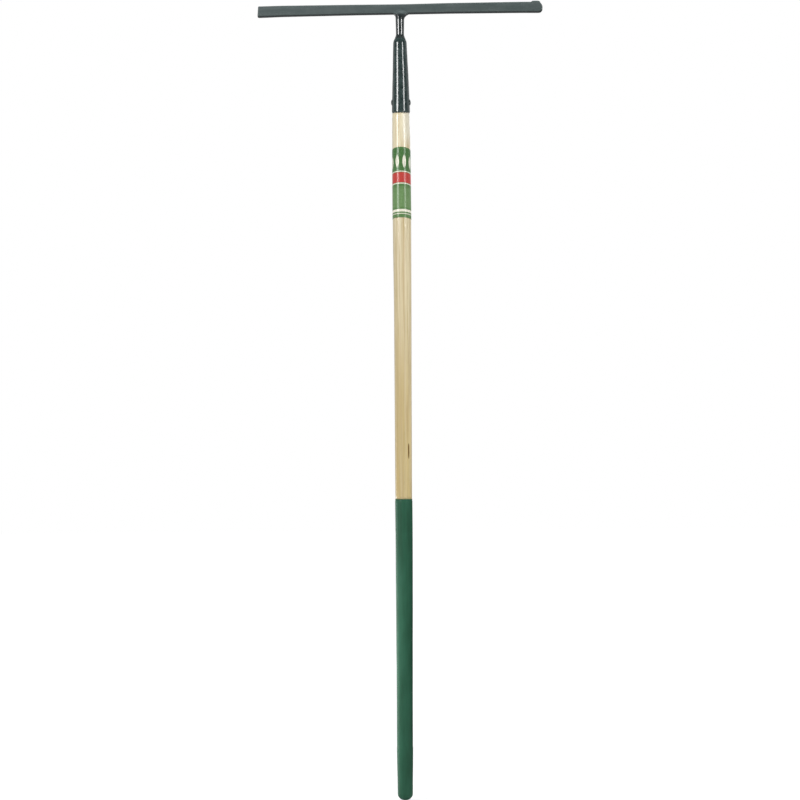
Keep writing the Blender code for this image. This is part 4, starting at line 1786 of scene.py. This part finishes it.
@dataclass
class TurnedShaft:
    """The wooden shaft, its label and its grip sleeve."""

    shoulder_radius: float = 13.85 * MM
    shoulder_height: float = -160.9 * MM
    neck_radius: float = 14.6 * MM
    neck_height: float = -196.6 * MM
    swell_radius: float = 14.95 * MM
    swell_height: float = -343.6 * MM
    waist_depth: float = 0.34 * MM
    waist_height: float = -490 * MM
    grip_radius: float = 13.45 * MM
    grip_gap: float = 0.1 * MM
    spigot_top_radius: float = 9.3 * MM
    spigot_foot_radius: float = 12.7 * MM
    spigot_chamfer: float = 1.0 * MM
    bare_steps: int = 170
    shaft_step: float = 8 * MM
    shaft_segments: int = 192
    shaft_lumps: Lumps = Lumps(0.06 * MM, (2.2 * MM, 2.2 * MM, 90 * MM), 6.0)
    sleeve_wall: float = 0.6 * MM
    sleeve_gap: float = 0.3 * MM
    sleeve_edge: float = 0.35 * MM
    rim_depth: float = 2.4 * MM
    side_drop: float = 4.0 * MM
    end_radius: float = 12.4 * MM
    end_height: float = 10.5 * MM
    dome_steps: int = 14
    sleeve_steps: int = 40
    sleeve_step: float = 2.4 * MM
    sleeve_segments: int = 96
    sleeve_lumps: Lumps = Lumps(0.10 * MM, (12 * MM, 12 * MM, 46 * MM), 1.0)
    label_gap: float = 0.12 * MM
    label_film: float = 0.25 * MM
    label_top_drop: float = 5.7 * MM
    label_bottom_drop: float = 3.4 * MM
    label_levelling: float = 0.35
    label_lap: float = 7.0
    label_lap_lift: float = 1.05
    label_rows: int = 80
    label_columns: int = 180
    label_lumps: Lumps = Lumps(0.05 * MM, (9 * MM, 9 * MM, 24 * MM), 9.0)

    def __post_init__(self) -> None:
        """Read the boxes of the shaft, the label and the sleeve from the frame."""
        self.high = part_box("shaft")[1]
        self.sleeve_low, self.sleeve_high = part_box("grip_sleeve")
        self.label_low, self.label_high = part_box("label_wrap")
        self.sleeve_radius = self.sleeve_high.x
        self.dome_height = self.sleeve_low.z + self.end_height

    def build(self, relief: SurfaceRelief) -> None:
        """Build and dress the shaft, the label and the sleeve.

        Args:
            relief: the tree that raises grain and ripples.
        """
        shaft = self.shaft()
        relief.dress(shaft, SHAFT_WOOD, self.shaft_lumps)
        enter(shaft, Slot.SHAFT, "shaft")
        label = self.label()
        relief.dress(label, LABEL_FILM, self.label_lumps)
        enter(label, Slot.LABEL, "label_wrap")
        sleeve = self.sleeve()
        relief.dress(sleeve, SLEEVE_VINYL, self.sleeve_lumps)
        enter(sleeve, Slot.SLEEVE, "grip_sleeve")

    def radius(self, z: float) -> float:
        """Return the bare shaft's radius at a height between socket and sleeve.

        Args:
            z: the height.

        Returns:
            The radius.
        """
        if z > self.neck_height:
            share = (self.shoulder_height - z) / (self.shoulder_height - self.neck_height)
            return mix(self.shoulder_radius, self.neck_radius, share)
        if z > self.swell_height:
            share = (self.neck_height - z) / (self.neck_height - self.swell_height)
            return mix(self.neck_radius, self.swell_radius, math.sin(QUARTER_TURN * share))
        share = (self.swell_height - z) / (self.swell_height - self.sleeve_high.z)
        above = ease(z, self.swell_height, self.waist_height)
        below = ease(z, self.sleeve_high.z, self.waist_height)
        return mix(self.swell_radius, self.grip_radius, share) - self.waist_depth * min(above, below)

    def dome(self, inset: float) -> Outline:
        """Return the blunt round at the grip end, from its rim to the axis.

        Args:
            inset: how far it lies inside the sleeve's outer side.

        Returns:
            The dome's points.
        """
        wide = self.end_radius - inset
        tall = self.end_height - inset
        turns = [QUARTER_TURN * step / self.dome_steps for step in range(1, self.dome_steps)]
        curve = [(wide * math.cos(turn), self.dome_height - tall * math.sin(turn)) for turn in turns]
        return curve + [(0.0, self.dome_height - tall)]

    def shaft(self) -> MeshObject:
        """Return the turned shaft from its spigot in the socket to its domed end in the sleeve.

        Returns:
            The shaft.
        """
        inset = self.sleeve_wall + self.sleeve_gap
        bottom = self.sleeve_high.z + self.grip_gap
        outline = [
            (0.0, self.high.z),
            (self.spigot_top_radius - self.spigot_chamfer, self.high.z),
            (self.spigot_top_radius, self.high.z - self.spigot_chamfer),
            (self.spigot_foot_radius, self.shoulder_height),
        ]
        outline += [(self.radius(z), z) for z in spaced(self.shoulder_height, bottom, self.bare_steps)]
        outline += [
            (self.sleeve_radius - inset, bottom),
            (self.end_radius - inset, self.dome_height),
        ]
        outline += self.dome(inset)
        return revolve("turned_shaft", refine(outline, self.shaft_step), self.shaft_segments)

    def sleeve(self) -> MeshObject:
        """Return the sleeve: a thin tapered cup with a rounded top edge.

        Returns:
            The sleeve.
        """
        top = self.sleeve_high.z
        rim = self.sleeve_radius
        outline = [
            (rim - self.sleeve_wall, top - self.sleeve_edge),
            (rim - self.sleeve_wall / 2, top),
            (rim, top - self.sleeve_edge),
            (rim, top - self.rim_depth),
        ]
        outline += [(self.sleeve_side(z), z) for z in self.sleeve_stations()]
        outline += self.dome(0.0)
        outline += self.dome(self.sleeve_wall)[::-1]
        outline += [
            (self.end_radius - self.sleeve_wall, self.dome_height),
            (rim - self.sleeve_wall, top - self.sleeve_edge),
        ]
        return revolve("grip_sleeve_skin", refine(outline, self.sleeve_step), self.sleeve_segments)

    def sleeve_stations(self) -> list[float]:
        """Return the heights down the sleeve's side where its radius is taken.

        Returns:
            The heights, from the top down.
        """
        top = self.sleeve_high.z - self.side_drop
        heights = spaced(top, self.dome_height, self.sleeve_steps)
        heights += [height for height, _ in SLEEVE_SWELL if self.dome_height < height < top]
        return sorted(heights, reverse=True)

    def sleeve_side(self, z: float) -> float:
        """Return the sleeve's outer radius at a height."""
        share = (self.sleeve_high.z - z) / (self.sleeve_high.z - self.dome_height)
        return mix(self.sleeve_radius, self.end_radius, share) + through_stations(SLEEVE_SWELL, z)

    def label(self) -> MeshObject:
        """Return the label film, wrapped once round the shaft with a short lap at the back.

        Returns:
            The label, with its flat map.
        """
        lap = math.radians(self.label_lap)
        sheets: list[Ring] = []
        for turn in spaced(-math.pi, math.pi + lap, self.label_columns):
            lapped = ease(turn, math.pi - lap, math.pi)
            inside = self.label_gap + self.label_film * self.label_lap_lift * lapped
            heights = spaced(*self.label_edges(turn), self.label_rows)
            outer = self.label_side(turn, inside + self.label_film, heights)
            sheets.append(outer + self.label_side(turn, inside, heights)[::-1])
        piece = loft("label_film_wrap", sheets)
        self.map_label(piece)
        return piece

    def label_side(self, turn: float, gap: float, heights: list[float]) -> Ring:
        """Return one upright line of points at a gap from the wood.

        Args:
            turn: the line's turn from the front, in radians.
            gap: how far it lies outside the wood.
            heights: the points' heights.

        Returns:
            The points.
        """
        line = []
        for z in heights:
            r = self.radius(z) + gap
            line.append((r * math.sin(turn), -r * math.cos(turn), z))
        return line

    def label_edges(self, turn: float) -> Span:
        """Return the label's upper and lower edge at a turn from the front, level round the back.

        Args:
            turn: the turn, in radians.

        Returns:
            The two heights.
        """
        behind = max(0.0, abs(turn) - QUARTER_TURN)
        away = 1.0 - math.cos(min(abs(turn), QUARTER_TURN))
        away += self.label_levelling * math.sin(min(behind / self.label_levelling, QUARTER_TURN))
        foot = self.label_low.z + (1.0 + self.label_levelling) * self.label_bottom_drop
        return self.label_high.z - self.label_top_drop * away, foot - self.label_bottom_drop * away

    def map_label(self, piece: MeshObject) -> None:
        """Lay the film's flat map: round the shaft from 0 to 1 and from foot to head.

        Args:
            piece: the label.
        """
        mesh = piece.data
        layer = mesh.uv_layers.new(name="film")
        for face in mesh.polygons:
            turns = [math.atan2(mesh.vertices[v].co.x, -mesh.vertices[v].co.y) for v in face.vertices]
            wrap = max(turns) - min(turns) > math.pi
            for loop, vertex, turn in zip(face.loop_indices, face.vertices, turns):
                upper, lower = self.label_edges(turn)
                if wrap and turn < 0:
                    turn += math.tau
                up = (mesh.vertices[vertex].co.z - lower) / (upper - lower)
                layer.data[loop].uv = (turn / math.tau + 0.5, up)


# The studio


@dataclass(frozen=True)
class SoftBox:
    """One soft lamp on a stand, aimed at the shaft's axis, level unless it has a height to aim at."""

    name: str
    azimuth: float
    distance: float
    height: float
    size: Span
    radiance: float
    use: LampUse = LampUse.PLAIN
    spread: float = OPEN_SPREAD
    aim_height: float | None = None

    def build(self) -> None:
        """Put the lamp in the scene."""
        wide, tall = self.size
        data = bpy.data.lights.new(self.name, "AREA")
        data.shape = "RECTANGLE"
        data.size = wide
        data.size_y = tall
        data.spread = math.radians(self.spread)
        data.energy = self.radiance * math.pi * wide * tall / self.focus()
        lamp = bpy.data.objects.new(self.name, data)
        turn = math.radians(self.azimuth)
        lamp.location = (self.distance * math.sin(turn), -self.distance * math.cos(turn), self.height)
        target = self.height if self.aim_height is None else self.aim_height
        aim = Vector((0.0, 0.0, target)) - lamp.location
        lamp.rotation_mode = "QUATERNION"
        lamp.rotation_quaternion = aim.to_track_quat("-Z", "Y")
        lamp.visible_camera = False
        lamp.visible_diffuse = self.use is not LampUse.GLEAM
        lamp.visible_glossy = self.use is not LampUse.FILL
        bpy.context.scene.collection.objects.link(lamp)
        LOG.info("lamp %s", self.name)

    def focus(self) -> float:
        """Return how much brighter a lamp with a honeycomb grid of this spread is along its axis.

        Returns:
            The factor, 1 for an open lamp.
        """
        if self.spread >= OPEN_SPREAD:
            return 1.0
        half = math.radians(self.spread) / 2
        return math.tan(half) / (math.tan(half) - half)


@dataclass(frozen=True)
class PaleFloor(Finish):
    """Plain pale floor that shows white to the camera and keeps the object's shadow."""

    title: str = "pale_floor"
    colour: Colour = (0.61, 0.61, 0.61)
    mottle: Colour = (0.63, 0.63, 0.63)
    mottle_scale: float = 14.0
    mottle_span: Span = (0.3, 0.7)
    roughness: float = 0.9
    glow: Span = (0.53, 0.75)
    glow_span: Span = (0.25, 4.2)
    mirror_share: float = 0.15

    def paint(self, graph: NodeGraph, shader: bpy.types.Node) -> None:
        """Join the floor's colour and the glow that camera, mirror and glass rays see.

        Args:
            graph: the material's nodes.
            shader: the surface shader.
        """
        place = self.object_place(graph)
        x, y, _ = graph.split(place)
        grain = graph.noise(place, self.mottle_scale, detail=3.0)
        mottled = graph.tint(graph.level(grain, *self.mottle_span), self.colour, self.mottle)
        graph.feed(shader.inputs["Base Color"], mottled)
        shader.inputs["Roughness"].default_value = self.roughness
        shader.inputs["Specular IOR Level"].default_value = 0.0
        shader.inputs["Emission Color"].default_value = (*WHITE, 1.0)
        path = graph.add("ShaderNodeLightPath")
        mirrored = graph.times(path.outputs["Is Glossy Ray"], self.mirror_share)
        seen = graph.math("MAXIMUM", path.outputs["Is Camera Ray"], mirrored)
        seen = graph.math("MAXIMUM", seen, path.outputs["Is Transmission Ray"])
        glow = graph.level(graph.reach(x, y), *self.glow_span, *self.glow)
        graph.feed(shader.inputs["Emission Strength"], graph.times(seen, glow))


@dataclass(frozen=True)
class DarkCard(Finish):
    """Dark felt of a card that only mirrors in the pieces and shades nothing."""

    title: str = "dark_felt"
    colour: Colour = (0.012, 0.012, 0.012)
    fluff: Colour = (0.02, 0.02, 0.02)
    fluff_scale: float = 300.0

    def paint(self, graph: NodeGraph, shader: bpy.types.Node) -> None:
        """Join the felt's speckled colour.

        Args:
            graph: the material's nodes.
            shader: the surface shader.
        """
        speckle = graph.noise(self.object_place(graph), self.fluff_scale)
        graph.feed(shader.inputs["Base Color"], graph.tint(speckle, self.colour, self.fluff))
        shader.inputs["Roughness"].default_value = 1.0
        shader.inputs["Specular IOR Level"].default_value = 0.0


@dataclass
class Studio:
    """Floor, pale surroundings, soft lamps, one dark card and the camera."""

    floor_radius: float = 14.0
    floor_segments: int = 96
    floor_gap: float = 0.5 * MM
    ambient: float = 0.46
    mirror_front: float = 0.08
    mirror_side: float = 0.65
    mirror_back: float = 0.13
    side_span: Span = (-0.15, 0.35)
    back_span: Span = (0.5, 0.92)
    card_azimuth: float = 140.0
    card_distance: float = 0.4
    card_width: float = 0.9
    card_low: float = -1.28
    card_high: float = -0.77
    left_turn: float = -48.0
    right_turn: float = 42.0
    camera_azimuth: float = 5.5
    camera_distance: float = 6.79
    camera_height: float = -0.6284
    camera_aside: float = -4.65 * MM
    camera_roll: float = -0.404
    camera_range: float = 100.0
    focal_pixels: float = 4165.6
    sensor: float = 36.0

    def build(self) -> None:
        """Set up the whole studio."""
        bpy.context.scene.view_settings.view_transform = "Standard"
        self.floor()
        self.card()
        self.surroundings()
        for lamp in self.lamps():
            lamp.build()
        self.camera()

    def floor(self) -> None:
        """Lay the floor under the grip end."""
        low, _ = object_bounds()
        mesh = bpy.data.meshes.new("floor")
        work = bmesh.new()
        bmesh.ops.create_circle(
            work, cap_ends=True, segments=self.floor_segments, radius=self.floor_radius
        )
        work.to_mesh(mesh)
        work.free()
        mesh.transform(Matrix.Translation((0.0, 0.0, low.z - self.floor_gap)))
        mesh.materials.append(PaleFloor().material())
        floor = bpy.data.objects.new("floor", mesh)
        bpy.context.scene.collection.objects.link(floor)
        floor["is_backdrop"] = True

    def card(self) -> None:
        """Stand the dark card beside the grip, where only mirrored rays meet it."""
        turn = math.radians(self.card_azimuth)
        out = Vector((math.sin(turn), -math.cos(turn), 0.0)) * self.card_distance
        side = Vector((math.cos(turn), math.sin(turn), 0.0)) * self.card_width / 2
        low = Vector((0.0, 0.0, self.card_low))
        high = Vector((0.0, 0.0, self.card_high))
        corners = [out - side + low, out + side + low, out + side + high, out - side + high]
        mesh = bpy.data.meshes.new("dark_card")
        mesh.from_pydata(corners, [], [(0, 1, 2, 3)])
        mesh.materials.append(DarkCard().material())
        card = bpy.data.objects.new("dark_card", mesh)
        card.visible_camera = False
        card.visible_diffuse = False
        card.visible_shadow = False
        card.visible_transmission = False
        bpy.context.scene.collection.objects.link(card)
        card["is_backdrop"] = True

    def surroundings(self) -> None:
        """Make the surroundings, white to the camera, which mirror as pale walls in a dim room."""
        world = bpy.data.worlds.new("studio")
        world.use_nodes = True
        world.node_tree.nodes.clear()
        graph = NodeGraph(world.node_tree)
        _, back, _ = graph.split(graph.add("ShaderNodeTexCoord").outputs["Generated"])
        path = graph.add("ShaderNodeLightPath")
        beside = graph.level(back, *self.side_span, self.mirror_front, self.mirror_side)
        mirrored = graph.level(back, *self.back_span, beside, self.mirror_back)
        lit = graph.add("ShaderNodeMix", data_type="FLOAT")
        graph.feed(lit.inputs[0], path.outputs["Is Glossy Ray"])
        graph.feed(lit.inputs[2], self.ambient)
        graph.feed(lit.inputs[3], mirrored)
        seen = graph.math("MAXIMUM", path.outputs["Is Camera Ray"], path.outputs["Is Transmission Ray"])
        strength = graph.math("MAXIMUM", lit.outputs[0], seen)
        sky = graph.add("ShaderNodeBackground")
        graph.feed(sky.inputs["Color"], WHITE)
        graph.feed(sky.inputs["Strength"], strength)
        output = graph.add("ShaderNodeOutputWorld")
        graph.feed(output.inputs["Surface"], sky.outputs[0])
        bpy.context.scene.world = world

    def lamps(self) -> list[SoftBox]:
        """Return the lamps: boxes beside the head, above and behind, and weak ones for the shaft.

        Returns:
            The lamps, in the order in which they are put up.
        """
        ahead = self.camera_azimuth
        left = ahead + self.left_turn
        right = ahead + self.right_turn
        fill = LampUse.FILL
        gleam = LampUse.GLEAM
        return [
            SoftBox("left_box", left, 2.0, 0.16, size=(0.60, 0.86), radiance=13.5),
            SoftBox("right_box", right, 2.0, 0.16, size=(0.44, 0.86), radiance=13.0, spread=90.0),
            SoftBox("top_box", ahead, 0.4, 1.9, size=(1.4, 0.8), radiance=9.0, use=fill, aim_height=0.0),
            SoftBox("right_fill", 84.0, 1.1, -0.47, size=(0.5, 0.3), radiance=10.0, use=fill, spread=42.0),
            SoftBox("left_fill", -96.0, 0.8, -1.06, size=(0.5, 0.34), radiance=15.0, use=fill, spread=40.0),
            SoftBox("front_fill", -35.0, 0.9, -1.0, size=(0.3, 0.15), radiance=22.0, use=fill, spread=24.0),
            SoftBox("left_gleam", -118.0, 1.4, -1.10, size=(1.5, 0.44), radiance=3.6, use=gleam),
            SoftBox("back_box", 160.0, 2.6, 0.3, size=(1.2, 1.0), radiance=1.6, aim_height=-0.5),
        ]

    def camera(self) -> None:
        """Put up the camera at the photograph's viewing angle."""
        data = bpy.data.cameras.new("camera")
        data.sensor_width = self.sensor
        data.lens = self.focal_pixels / IMAGE_SIZE * self.sensor
        data.dof.use_dof = False
        data.clip_end = self.camera_range
        camera = bpy.data.objects.new("camera", data)
        turn = math.radians(self.camera_azimuth)
        back = Vector((math.sin(turn), -math.cos(turn), 0.0))
        aside = Vector((math.cos(turn), math.sin(turn), 0.0))
        camera.location = back * self.camera_distance + aside * self.camera_aside
        camera.location.z = self.camera_height
        upright = (-back).to_track_quat("-Z", "Y").to_matrix().to_4x4()
        rolled = upright @ Matrix.Rotation(math.radians(self.camera_roll), 4, "Z")
        camera.rotation_mode = "QUATERNION"
        camera.rotation_quaternion = rolled.to_quaternion()
        bpy.context.scene.collection.objects.link(camera)
        bpy.context.scene.camera = camera


def main() -> None:
    """Build the rake piece by piece, then the studio."""
    logging.basicConfig(level=logging.INFO, format="%(message)s")
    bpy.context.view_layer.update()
    relief = SurfaceRelief()
    rows = RepeatedPieces()
    RakeHead().build(relief, rows)
    WeldedNeck().build(relief)
    RivetedSocket().build(relief, rows)
    TurnedShaft().build(relief)
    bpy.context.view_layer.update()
    Studio().build()


if __name__ == "__main__":
    main()
